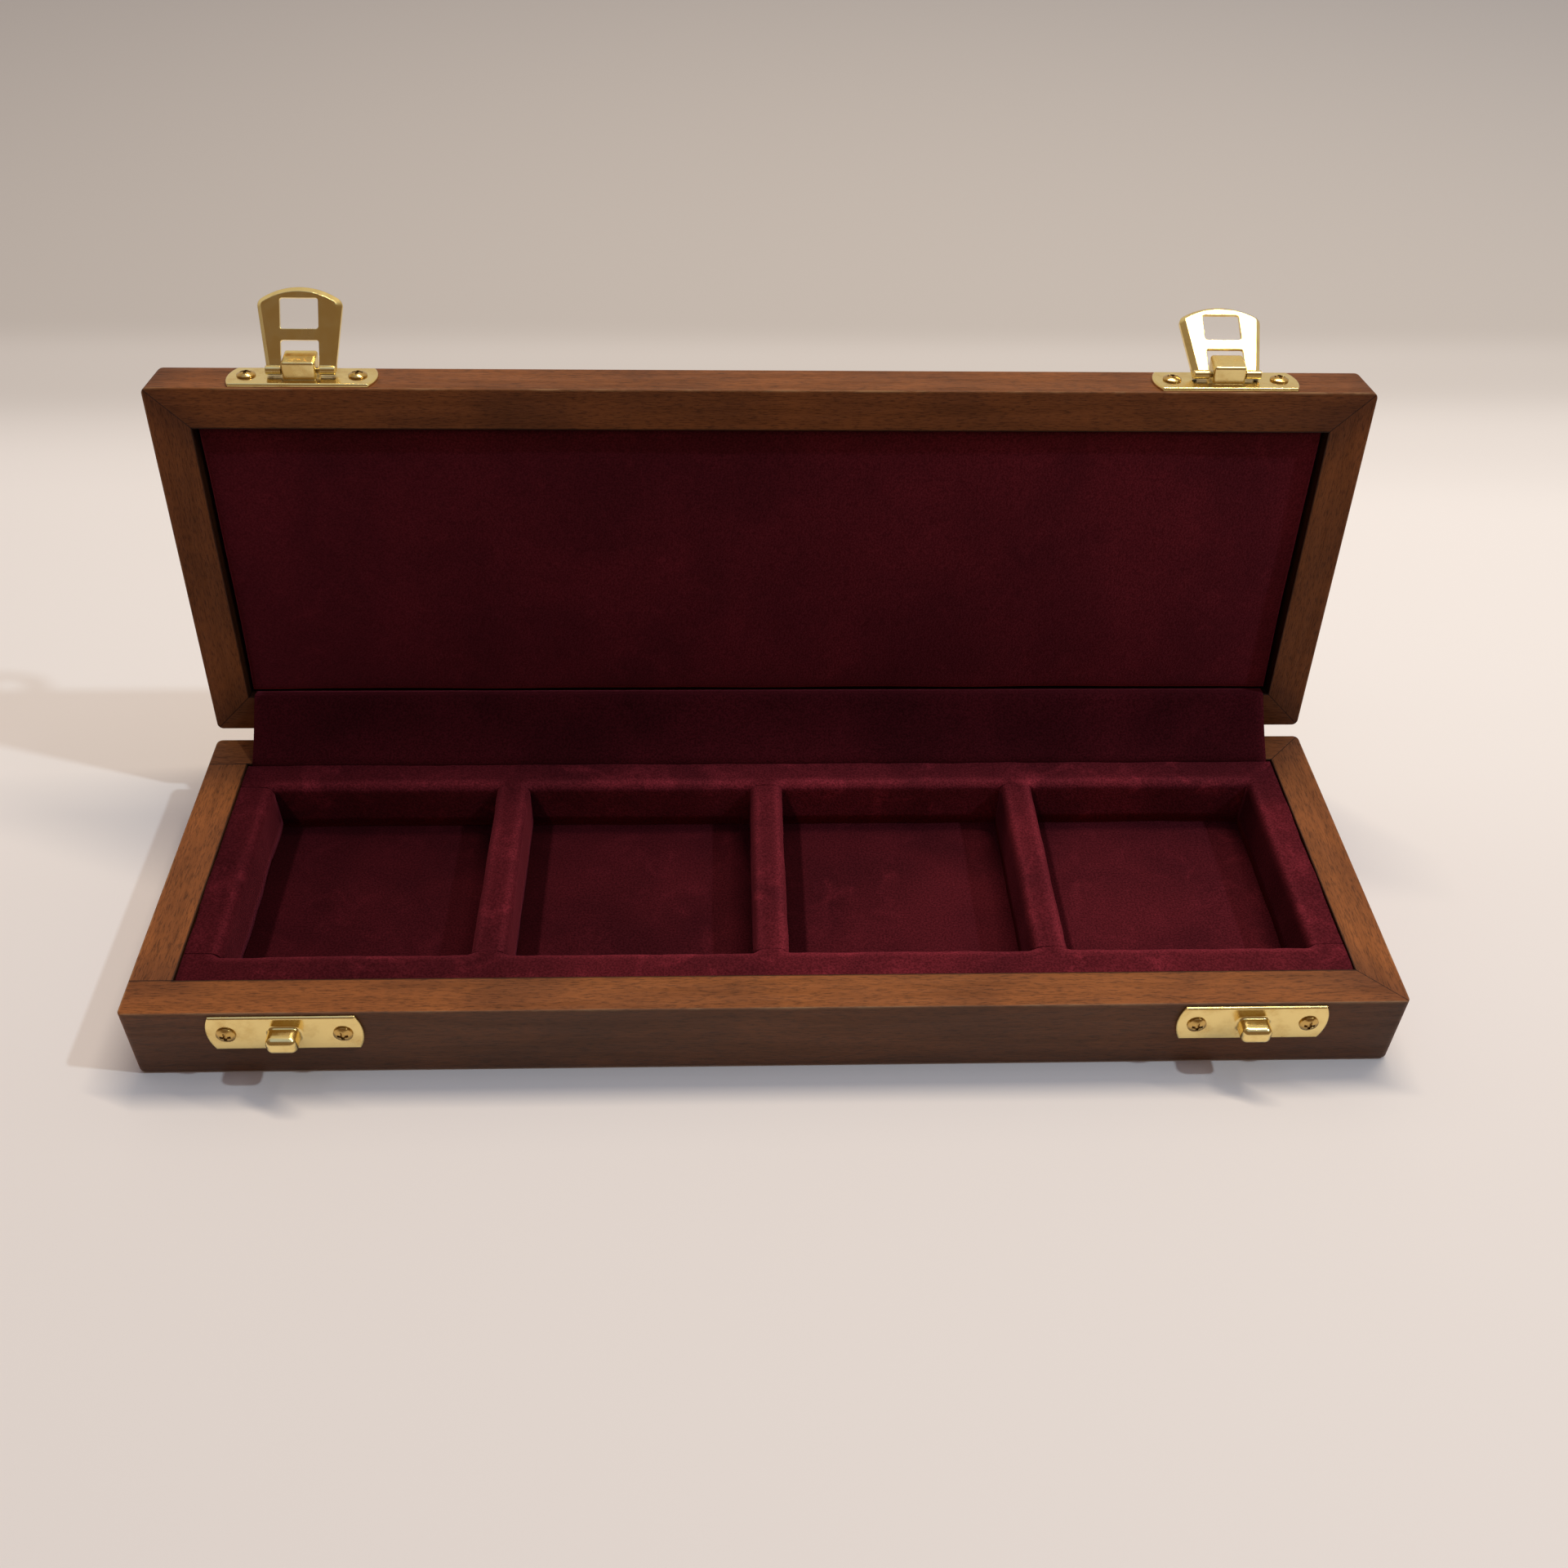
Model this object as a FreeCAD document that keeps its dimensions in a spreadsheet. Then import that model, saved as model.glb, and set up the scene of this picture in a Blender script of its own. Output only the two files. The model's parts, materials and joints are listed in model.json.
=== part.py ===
import FreeCAD, Part
import os
import re
import Sketcher

# A long wooden watch box with a hinged lid, shown open.
# Origin: centre of the underside. X runs left to right, Y from front to back, Z up. Millimetres.
# Lid pieces are drawn with the lid shut, on the plane of the lid's rim, and then swung open.

SIZES = [
    ("box_width", "280", "outside, left to right"),
    ("box_depth", "90.8", "outside, front to back"),
    ("base_height", "19.9", "underside to rim of the base"),
    ("lid_height", "14.2", "rim to top of the lid"),
    ("lid_gap", "0.5", "between the closed rims, filled by the folded hinge cloth"),
    ("lid_open_angle", "96.5", "how far the lid stands open, degrees"),
    ("rail_thickness", "9.6", "wood of the rails"),
    ("corner_radius", "1.5", "outer upright corners"),
    ("arris_radius", "0.4", "outer edge round a rim"),
    ("lid_edge_radius", "2", "outer edge round the top of the lid"),
    ("base_edge_radius", "1", "outer edge round the underside"),
    ("panel_rebate", "4", "width of the ledge that a panel is glued to"),
    ("lid_panel_inset", "0.3", "top panel below the edges of the lid's rails"),
    ("panel_clearance", "0.15", "round a panel in its rebate"),
    ("base_panel_thickness", "4.3", "bottom panel, flush with the underside"),
    ("lid_panel_thickness", "4.5", "top panel of the lid"),
    ("floor_thickness", "1.6", "velvet covered card under the wells"),
    ("strip_width", "8", "velvet covered strips and dividers"),
    ("strip_drop", "1", "top of the strips below the rim"),
    ("strip_crown", "1.6", "rise of a strip's rounded top"),
    ("lining_clearance", "0.15", "round the lining and between its strips"),
    ("pad_recess", "2", "edge of the lid pad behind the lid's rim"),
    ("pad_gap", "0.6", "between the lid pad and the rails"),
    ("pad_crown", "0.5", "swell of the lid pad at its middle"),
    ("pad_edge_radius", "1.2", "rolled edge of the lid pad"),
    ("cloth_side_gap", "1.4", "between an end of the hinge cloth and its rail"),
    ("cloth_thickness", "0.25", "hinge cloth"),
    ("cloth_tuck", "2", "hinge cloth tucked in behind the back strip"),
    ("cloth_lid_tuck", "4.2", "hinge cloth tucked in beside the lid pad"),
    ("cloth_clearance", "0.1", "between the hinge cloth and the rails"),
    ("hinge_inset", "52", "middle of a hinge from its end of the box"),
    ("hinge_pin_offset", "1.6", "pin axis behind the back face"),
    ("hinge_pin_radius", "0.65", "hinge pin"),
    ("knuckle_radius", "1.3", "outside of the hinge barrel"),
    ("knuckle_gap", "0.3", "between neighbouring knuckles"),
    ("leaf_length", "25", "hinge leaf along the box"),
    ("leaf_depth", "7.5", "hinge leaf from the back face inwards"),
    ("leaf_thickness", "0.9", "hinge leaf, let in flush with the rim"),
    ("leaf_clearance", "0.1", "round a leaf in its mortise"),
    ("leaf_screw_spacing", "15", "between the screws of one leaf"),
    ("leaf_screw_head_radius", "1.6", "countersunk head"),
    ("leaf_screw_shank_radius", "0.85", "shank of a leaf screw"),
    ("leaf_screw_length", "8", "leaf screw overall"),
    ("left_latch_inset", "34.7", "middle of the left latch from the left end of the box"),
    ("right_latch_inset", "34.2", "middle of the right latch from the right end of the box"),
    ("plate_length", "33.8", "latch and catch plates"),
    ("plate_height", "10.3", "latch and catch plates"),
    ("plate_thickness", "0.8", "latch and catch plates"),
    ("plate_end_bulge", "1.3", "curve of a plate's ends"),
    ("plate_edge_radius", "0.5", "rolled outer edge of a plate"),
    ("catch_height", "14.1", "middle of a catch plate above the underside"),
    ("nose_width", "6.8", "nose of the catch"),
    ("nose_height", "4.2", "nose of the catch"),
    ("nose_reach", "5.1", "nose out from the wood"),
    ("nose_offset", "0", "middle of the nose above the plate's middle"),
    ("nose_radius", "1.5", "rounded edges of the nose"),
    ("nose_root_radius", "0.6", "hollow curve from the plate up to the nose"),
    ("latch_height", "5.8", "middle of a latch plate above the lid's rim"),
    ("block_width", "7.4", "pivot block of the latch"),
    ("block_height", "5.6", "pivot block of the latch"),
    ("block_offset", "0", "middle of the pivot block above the plate's middle"),
    ("block_reach", "4.7", "pivot block out from the wood, at its lower face"),
    ("block_rise", "1.2", "slope of the pivot block's outer face, up to its upper face"),
    ("block_radius", "0.6", "rounded edges of the pivot block"),
    ("pivot_reach", "2.2", "latch pivot out from the wood"),
    ("pivot_offset", "-0.4", "latch pivot above the plate's middle"),
    ("pivot_pin_radius", "0.55", "latch pivot pin"),
    ("pin_clearance", "0.05", "round a pin in what turns on it"),
    ("press_clearance", "0.02", "round a pin or screw in what holds it"),
    ("hasp_length", "18.5", "pivot to tip of the hasp"),
    ("hasp_foot_width", "15.4", "hasp at the pivot"),
    ("hasp_tip_width", "19.2", "hasp at its widest"),
    ("hasp_crown", "3.2", "rise of the arched tip"),
    ("hasp_sheet", "0.8", "sheet of the hasp"),
    ("hasp_rim_depth", "1.1", "depth of the turned rim"),
    ("hasp_rim_width", "1.3", "width of the turned rim"),
    ("hasp_barrel_radius", "1", "rolled foot round the pivot pin"),
    ("hasp_corner_radius", "2", "rounded corners of the tip"),
    ("window_width", "8.6", "upper window and the slot between the feet"),
    ("window_start", "9.1", "upper window from the pivot"),
    ("window_end", "15.9", "upper window to here"),
    ("window_radius", "0.6", "rounded corners of the windows"),
    ("slot_end", "6.6", "slot between the feet to here"),
    ("left_hasp_lean", "31", "left hasp past square to the lid's front, degrees"),
    ("right_hasp_lean", "54", "right hasp past square to the lid's front, degrees"),
    ("screw_spacing", "25", "between the screws of one plate"),
    ("screw_head_radius", "2.1", "domed head"),
    ("screw_head_height", "1.05", "domed head"),
    ("screw_head_rim", "0.35", "upright edge of a domed head"),
    ("screw_shank_radius", "1.1", "shank of a plate screw"),
    ("screw_length", "7", "shank of a plate screw below its head"),
    ("recess_span", "2.4", "cross recess, end to end"),
    ("recess_slot", "0.7", "cross recess, width of an arm"),
    ("recess_depth", "0.6", "cross recess below the top of the head"),
]
DIVIDERS = 3
SIDES = (("left", -1), ("right", 1))
# How far a cut reaches past what it cuts.
BEYOND = "2"

doc = FreeCAD.newDocument("watch_box")
sheet = doc.addObject("Spreadsheet::Sheet", "sizes")
for row, (alias, number, note) in enumerate(SIZES, 1):
    sheet.set(f"A{row}", note)
    sheet.set(f"B{row}", number)
    sheet.setAlias(f"B{row}", alias)
doc.recompute()
ALIASES = {alias for alias, number, note in SIZES}
pieces = []


def bound(text):
    """Formula text with every size name pointing at its cell."""
    return re.sub(r"[a-z_]+", lambda word: f"sizes.{word[0]}" if word[0] in ALIASES else word[0], text)


def value(text):
    """Number that a formula has now."""
    return float(sheet.evalExpression(bound(text)))


def placed(x="0", y="0", z="0", axis="0; 0; 1", angle="0"):
    """Formula of a placement: turned by angle about axis, then moved to x, y, z."""
    return f"placement(vector({x}; {y}; {z}); rotation(vector({axis}); {angle}))"


INNER_WIDTH = "(box_width - 2 * rail_thickness)"
INNER_DEPTH = "(box_depth - 2 * rail_thickness)"
BACK = "(box_depth / 2)"
HINGE_X = "(box_width / 2 - hinge_inset)"
HINGE_Y = f"({BACK} + hinge_pin_offset)"
HINGE_Z = "(base_height + lid_gap / 2)"
FLOOR_TOP = "(base_panel_thickness + floor_thickness)"
PAD_SEAT = "(lid_height - lid_panel_inset - lid_panel_thickness)"
LEAF_SCREW_Y = f"({BACK} - leaf_depth / 2)"
ON_BASE = placed()
# Lid pieces have Z = 0 on the lid's rim. The lid swings back about the hinge pins.
ON_LID = (placed("0", HINGE_Y, HINGE_Z, "1; 0; 0", "-lid_open_angle") + " * "
          + placed("0", f"-{HINGE_Y}", "lid_gap / 2"))
# Front plates lie in X and Y in their own frame, with Z out from the wood.
FACING_FRONT = ("1; 0; 0", "90")


def finish(piece, label, *places):
    """Name a sub-part, place it and put it on the list of those that are written."""
    piece.Label = label
    piece.setExpression("Placement", bound(" * ".join(places)))
    pieces.append(piece)
    return piece


def new_body(name):
    return doc.addObject("PartDesign::Body", name)


def add_sketch(body, name, plane, offset="0"):
    """Empty sketch on one of the body's own planes, raised by offset."""
    sketch = body.newObject("Sketcher::SketchObject", name)
    support = [each for each in body.Origin.OriginFeatures if each.Role == plane][0]
    sketch.AttachmentSupport = [(support, "")]
    sketch.MapMode = "FlatFace"
    sketch.setExpression("AttachmentOffset.Base.z", bound(offset))
    return sketch


def bind(sketch, kind, geometry, point, formula):
    """Tie a point of the sketch to its distance from the origin."""
    index = sketch.addConstraint(Sketcher.Constraint(kind, -1, 1, geometry, point, value(formula)))
    sketch.setExpression(f"Constraints[{index}]", bound(formula))


def arc_hub(middle, chord, axis, centre):
    """Centre of an arc, on the line that crosses its chord squarely in the middle."""
    if axis == "X":
        x = value(centre)
        return FreeCAD.Vector(x, middle.y - (x - middle.x) * chord.x / chord.y, 0)
    y = value(centre)
    return FreeCAD.Vector(middle.x - (y - middle.y) * chord.y / chord.x, y, 0)


def draw_outline(sketch, corners, arcs=()):
    """Closed outline through corners. arcs gives (edge, axis, centre): that edge is an arc whose
    centre has this distance from the origin along the axis, and bulges away from the centre."""
    first = sketch.GeometryCount
    points = [FreeCAD.Vector(value(x), value(y), 0) for x, y in corners]
    curved = {edge: (axis, centre) for edge, axis, centre in arcs}
    count = len(points)
    for i, start in enumerate(points):
        end = points[(i + 1) % count]
        if i in curved:
            middle = (start + end) * 0.5
            hub = arc_hub(middle, end - start, *curved[i])
            crest = hub + (middle - hub).normalize() * (start - hub).Length
            sketch.addGeometry(Part.Arc(start, crest, end))
        else:
            sketch.addGeometry(Part.LineSegment(start, end))
    ends = []
    for i, start in enumerate(points):
        shape = sketch.Geometry[first + i]
        forward = shape.StartPoint.distanceToPoint(start) < 1e-6
        ends.append((1, 2) if forward else (2, 1))
    for i, (x, y) in enumerate(corners):
        following = (i + 1) % count
        join = (first + i, ends[i][1], first + following, ends[following][0])
        sketch.addConstraint(Sketcher.Constraint("Coincident", *join))
        bind(sketch, "DistanceX", first + i, ends[i][0], x)
        bind(sketch, "DistanceY", first + i, ends[i][0], y)
        if i in curved:
            axis, centre = curved[i]
            bind(sketch, f"Distance{axis}", first + i, 3, centre)


def draw_rectangle(sketch, left, right, low, high):
    draw_outline(sketch, [(left, low), (right, low), (right, high), (left, high)])


def draw_circle(sketch, x, y, radius):
    centre = FreeCAD.Vector(value(x), value(y), 0)
    index = sketch.addGeometry(Part.Circle(centre, FreeCAD.Vector(0, 0, 1), value(radius)))
    bind(sketch, "DistanceX", index, 3, x)
    bind(sketch, "DistanceY", index, 3, y)
    size = sketch.addConstraint(Sketcher.Constraint("Radius", index, value(radius)))
    sketch.setExpression(f"Constraints[{size}]", bound(radius))


def grow(body, name, kind, sketch, length, reverse=False, both_ways=False):
    """Pad or pocket a sketch. A pocket has to take wood or metal away."""
    doc.recompute()
    before = body.Shape.Volume if body.Tip and not body.Shape.isNull() else 0
    feature = body.newObject(f"PartDesign::{kind}", name)
    feature.Profile = sketch
    feature.SideType = "Symmetric" if both_ways else "One side"
    feature.setExpression("Length", bound(length))
    feature.Reversed = reverse
    doc.recompute()
    added = feature.Shape.Volume - before
    if added == 0 or (added > 0) != (kind == "Pad"):
        raise ValueError(f"{name} of {body.Name} does nothing")
    return feature


def dress(body, name, kind, size, keep):
    """Fillet or chamfer the edges of the body's last feature that keep() picks."""
    base = body.Tip
    edges = [f"Edge{i}" for i, edge in enumerate(base.Shape.Edges, 1) if keep(edge)]
    if not edges:
        raise ValueError(f"{name} of {body.Name} finds no edge")
    feature = body.newObject(f"PartDesign::{kind}", name)
    feature.Base = (base, edges)
    feature.setExpression("Radius" if kind == "Fillet" else "Size", bound(size))
    doc.recompute()
    return feature


def lies_at(edge, axis, place):
    """The whole edge has this coordinate."""
    box = edge.BoundBox
    low, high = getattr(box, f"{axis}Min"), getattr(box, f"{axis}Max")
    return abs(low - place) < 1e-4 and abs(high - place) < 1e-4


def runs_along(edge, axis):
    """A straight edge along one axis."""
    box = edge.BoundBox
    spans = {each: getattr(box, f"{each}Length") for each in "XYZ"}
    return spans[axis] > 1e-4 and all(spans[each] < 1e-4 for each in "XYZ" if each != axis)


# Frames: each is drawn whole, with its rebate, mortises and pilot holes, then parted at its
# corners into four rails.


def frame_stock(name, height, edge_radius, seat_depth, rebate_at_top, plate_height):
    """Frame with eased edges, a panel rebate, two hinge mortises and the pilot holes of its screws.
    The base has its rim at the top, the lid at Z = 0."""
    body = new_body(name)
    outline = add_sketch(body, f"{name}_outline", "XY_Plane")
    draw_rectangle(outline, "-box_width / 2", "box_width / 2", f"-{BACK}", BACK)
    grow(body, f"{name}_pad", "Pad", outline, height)
    dress(body, f"{name}_corners", "Fillet", "corner_radius", lambda edge: runs_along(edge, "Z"))
    outer = value(height) if rebate_at_top else 0
    dress(body, f"{name}_edges", "Fillet", edge_radius, lambda edge: lies_at(edge, "Z", outer))
    rim_level = 0 if rebate_at_top else value(height)
    dress(body, f"{name}_arris", "Fillet", "arris_radius", lambda edge: lies_at(edge, "Z", rim_level))
    opening = add_sketch(body, f"{name}_opening", "XY_Plane")
    draw_rectangle(opening, f"-{INNER_WIDTH} / 2", f"{INNER_WIDTH} / 2",
                   f"-{INNER_DEPTH} / 2", f"{INNER_DEPTH} / 2")
    grow(body, f"{name}_hollow", "Pocket", opening, height, reverse=True)
    seat = add_sketch(body, f"{name}_rebate", "XY_Plane", height if rebate_at_top else "0")
    draw_rectangle(seat, f"-{INNER_WIDTH} / 2 - panel_rebate", f"{INNER_WIDTH} / 2 + panel_rebate",
                   f"-{INNER_DEPTH} / 2 - panel_rebate", f"{INNER_DEPTH} / 2 + panel_rebate")
    grow(body, f"{name}_seat", "Pocket", seat, seat_depth, reverse=not rebate_at_top)
    rim = "0" if rebate_at_top else height
    mortise = add_sketch(body, f"{name}_mortise", "XY_Plane", rim)
    for side, sign in SIDES:
        middle = f"{sign} * {HINGE_X}"
        draw_rectangle(mortise, f"{middle} - leaf_length / 2 - leaf_clearance",
                       f"{middle} + leaf_length / 2 + leaf_clearance",
                       f"{BACK} - leaf_depth - leaf_clearance", f"{BACK} + {BEYOND}")
    grow(body, f"{name}_mortises", "Pocket", mortise, "leaf_thickness", reverse=rebate_at_top)
    leaf_pilot = add_sketch(body, f"{name}_leaf_pilot", "XY_Plane", rim)
    for x in leaf_screw_places():
        draw_circle(leaf_pilot, x, LEAF_SCREW_Y, "leaf_screw_shank_radius + press_clearance")
    grow(body, f"{name}_leaf_pilots", "Pocket", leaf_pilot, "leaf_screw_length + press_clearance",
         reverse=rebate_at_top)
    plate_pilot = add_sketch(body, f"{name}_plate_pilot", "XZ_Plane", BACK)
    for x in plate_screw_places():
        draw_circle(plate_pilot, x, plate_height, "screw_shank_radius + press_clearance")
    grow(body, f"{name}_plate_pilots", "Pocket", plate_pilot,
         "screw_length - plate_thickness + press_clearance")
    return body


def latch_distance(side):
    """Formula of how far a latch stands from the middle of the box."""
    return f"(box_width / 2 - {side}_latch_inset)"


def leaf_screw_places():
    """X of the four leaf screws on one rim."""
    return [f"{hinge} * {HINGE_X} + {end} * leaf_screw_spacing / 2"
            for side, hinge in SIDES for name, end in SIDES]


def plate_screw_places():
    """X of the four plate screws on one front."""
    return [f"{sign} * {latch_distance(side)} + {end} * screw_spacing / 2"
            for side, sign in SIDES for name, end in SIDES]


def rail_wedge(name, corners):
    """Upright prism that holds one rail and ends in its joints."""
    sketch = doc.addObject("Sketcher::SketchObject", f"{name}_joints_outline")
    draw_outline(sketch, corners)
    wedge = doc.addObject("Part::Extrusion", f"{name}_joints")
    wedge.Base = sketch
    wedge.DirMode = "Normal"
    wedge.Solid = True
    wedge.setExpression("LengthFwd", bound(f"base_height + lid_height + {BEYOND}"))
    wedge.setExpression("LengthRev", bound(BEYOND))
    return wedge


LEFT = "-box_width / 2"
RIGHT = "box_width / 2"
INNER_LEFT = f"(-{INNER_WIDTH} / 2)"
INNER_BACK = f"({INNER_DEPTH} / 2)"
MITRE_END = "(box_width / 2 - box_depth / 2)"
MITRED = {
    "front": [(LEFT, f"-{BACK}"), (RIGHT, f"-{BACK}"), (MITRE_END, "0"), (f"-{MITRE_END}", "0")],
    "back": [(RIGHT, BACK), (LEFT, BACK), (f"-{MITRE_END}", "0"), (MITRE_END, "0")],
    "left": [(LEFT, BACK), (LEFT, f"-{BACK}"), (f"-{MITRE_END}", "0")],
    "right": [(RIGHT, f"-{BACK}"), (RIGHT, BACK), (MITRE_END, "0")],
}
# On the base only the right corners are mitred. Its left rail butts between the front and the back.
BUTTED = {
    "front": [(LEFT, f"-{BACK}"), (RIGHT, f"-{BACK}"), (MITRE_END, "0"),
              (INNER_LEFT, "0"), (INNER_LEFT, f"-{INNER_BACK}"), (LEFT, f"-{INNER_BACK}")],
    "back": [(RIGHT, BACK), (LEFT, BACK), (LEFT, INNER_BACK),
             (INNER_LEFT, INNER_BACK), (INNER_LEFT, "0"), (MITRE_END, "0")],
    "left": [(LEFT, INNER_BACK), (LEFT, f"-{INNER_BACK}"),
             (INNER_LEFT, f"-{INNER_BACK}"), (INNER_LEFT, INNER_BACK)],
    "right": MITRED["right"],
}
base_stock = frame_stock("base_stock", "base_height", "base_edge_radius", "base_panel_thickness",
                         False, "catch_height")
lid_stock = frame_stock("lid_stock", "lid_height", "lid_edge_radius",
                        "lid_panel_thickness + lid_panel_inset", True, "latch_height")
for part, stock, joints, place in (("base", base_stock, BUTTED, ON_BASE), ("lid", lid_stock, MITRED, ON_LID)):
    for name, corners in joints.items():
        label = f"{part}_{name}_rail"
        rail = doc.addObject("Part::Common", label)
        rail.Base = stock
        rail.Tool = rail_wedge(label, corners)
        finish(rail, label, place)


# Panels and the floor of the wells: flat boards.


def board(label, width, depth, low, thickness, place):
    body = new_body(label)
    outline = add_sketch(body, f"{label}_outline", "XY_Plane", low)
    draw_rectangle(outline, f"-({width}) / 2", f"({width}) / 2", f"-({depth}) / 2", f"({depth}) / 2")
    grow(body, f"{label}_pad", "Pad", outline, thickness)
    finish(body, label, place)


PANEL_GROWTH = "+ 2 * panel_rebate - 2 * panel_clearance"
LINING_WIDTH = f"({INNER_WIDTH} - 2 * lining_clearance)"
LINING_DEPTH = f"({INNER_DEPTH} - 2 * lining_clearance)"
board("base_bottom_panel", f"{INNER_WIDTH} {PANEL_GROWTH}", f"{INNER_DEPTH} {PANEL_GROWTH}",
      "0", "base_panel_thickness", ON_BASE)
board("lid_top_panel", f"{INNER_WIDTH} {PANEL_GROWTH}", f"{INNER_DEPTH} {PANEL_GROWTH}",
      PAD_SEAT, "lid_panel_thickness", ON_LID)
board("compartment_floor", LINING_WIDTH, LINING_DEPTH,
      "base_panel_thickness", "floor_thickness", ON_BASE)


# Velvet covered strips: straight sides and a rounded top.


def arc_drop(half_chord, rise):
    """Formula of how far below its crest an arc has its centre."""
    return f"(({half_chord}) ^ 2 + ({rise}) ^ 2) / (2 * ({rise}))"


def velvet_strip(label, length, place):
    """Strip along X, with its middle on Y = 0."""
    body = new_body(label)
    section = add_sketch(body, f"{label}_section", "YZ_Plane")
    crest = "(base_height - strip_drop)"
    shoulder = f"({crest} - strip_crown)"
    half = "strip_width / 2"
    corners = [(f"-{half}", FLOOR_TOP), (half, FLOOR_TOP), (half, shoulder), (f"-{half}", shoulder)]
    draw_outline(section, corners, [(2, "Y", f"{crest} - {arc_drop(half, 'strip_crown')}")])
    grow(body, f"{label}_pad", "Pad", section, length, both_ways=True)
    finish(body, label, place)


STRIP_Y = f"({LINING_DEPTH} / 2 - strip_width / 2)"
END_X = f"({LINING_WIDTH} / 2 - strip_width / 2)"
CROSS_LENGTH = f"{LINING_DEPTH} - 2 * strip_width - 2 * lining_clearance"
velvet_strip("front_velvet_strip", LINING_WIDTH, placed("0", f"-{STRIP_Y}"))
velvet_strip("back_velvet_strip", LINING_WIDTH, placed("0", STRIP_Y))
for side, sign in SIDES:
    velvet_strip(f"{side}_velvet_strip", CROSS_LENGTH, placed(f"{sign} * {END_X}", angle="90"))
for number in range(1, DIVIDERS + 1):
    share = f"({2 * number} / {DIVIDERS + 1} - 1)"
    velvet_strip(f"velvet_divider_{number}", CROSS_LENGTH, placed(f"{share} * {END_X}", angle="90"))


# Lid pad: a velvet cushion on card, crowned across its depth and rolled at its edges.


def lid_pad():
    label = "lid_velvet_pad"
    body = new_body(label)
    section = add_sketch(body, f"{label}_section", "YZ_Plane")
    half = f"({INNER_DEPTH} / 2 - pad_gap)"
    corners = [(f"-{half}", PAD_SEAT), (f"-{half}", "pad_recess"), (half, "pad_recess"), (half, PAD_SEAT)]
    centre = f"pad_recess - pad_crown + {arc_drop(half, 'pad_crown')}"
    draw_outline(section, corners, [(1, "Y", centre)])
    grow(body, f"{label}_pad", "Pad", section, f"{INNER_WIDTH} - 2 * pad_gap", both_ways=True)
    top = value(PAD_SEAT)
    dress(body, f"{label}_roll", "Fillet", "pad_edge_radius",
          lambda edge: edge.BoundBox.ZMax < top - 1e-4)
    finish(body, label, ON_LID)


lid_pad()


# Hinge cloth: one taut sheet from the base's back rail to the lid's, tucked in behind the lining.


def swung(y, z):
    """Where a point of the lid's frame lies once the lid is open."""
    away = f"({y} - {HINGE_Y})"
    up = f"({z} + lid_gap / 2)"
    return (f"{HINGE_Y} + {away} * cos(lid_open_angle) + {up} * sin(lid_open_angle)",
            f"{HINGE_Z} - {away} * sin(lid_open_angle) + {up} * cos(lid_open_angle)")


def hinge_cloth():
    label = "hinge_cover_cloth"
    body = new_body(label)
    section = add_sketch(body, f"{label}_section", "YZ_Plane")
    near = f"({INNER_DEPTH} / 2 - cloth_clearance)"
    far = f"({near} - cloth_thickness)"
    bend = "cloth_clearance"
    mitre = "(cloth_clearance + cloth_thickness * tan(lid_open_angle / 4))"
    corners = [
        (near, "base_height - cloth_tuck"),
        (near, f"base_height + {bend}"),
        swung(near, f"-{bend}"),
        swung(near, "cloth_lid_tuck"),
        swung(far, "cloth_lid_tuck"),
        swung(far, f"-{mitre}"),
        (far, f"base_height + {mitre}"),
        (far, "base_height - cloth_tuck"),
    ]
    draw_outline(section, corners)
    grow(body, f"{label}_pad", "Pad", section, f"{INNER_WIDTH} - 2 * cloth_side_gap", both_ways=True)
    finish(body, label, ON_BASE)


hinge_cloth()


# Butt hinges: leaves let into the rims, two knuckles on the base leaf, one on the lid leaf.


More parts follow.
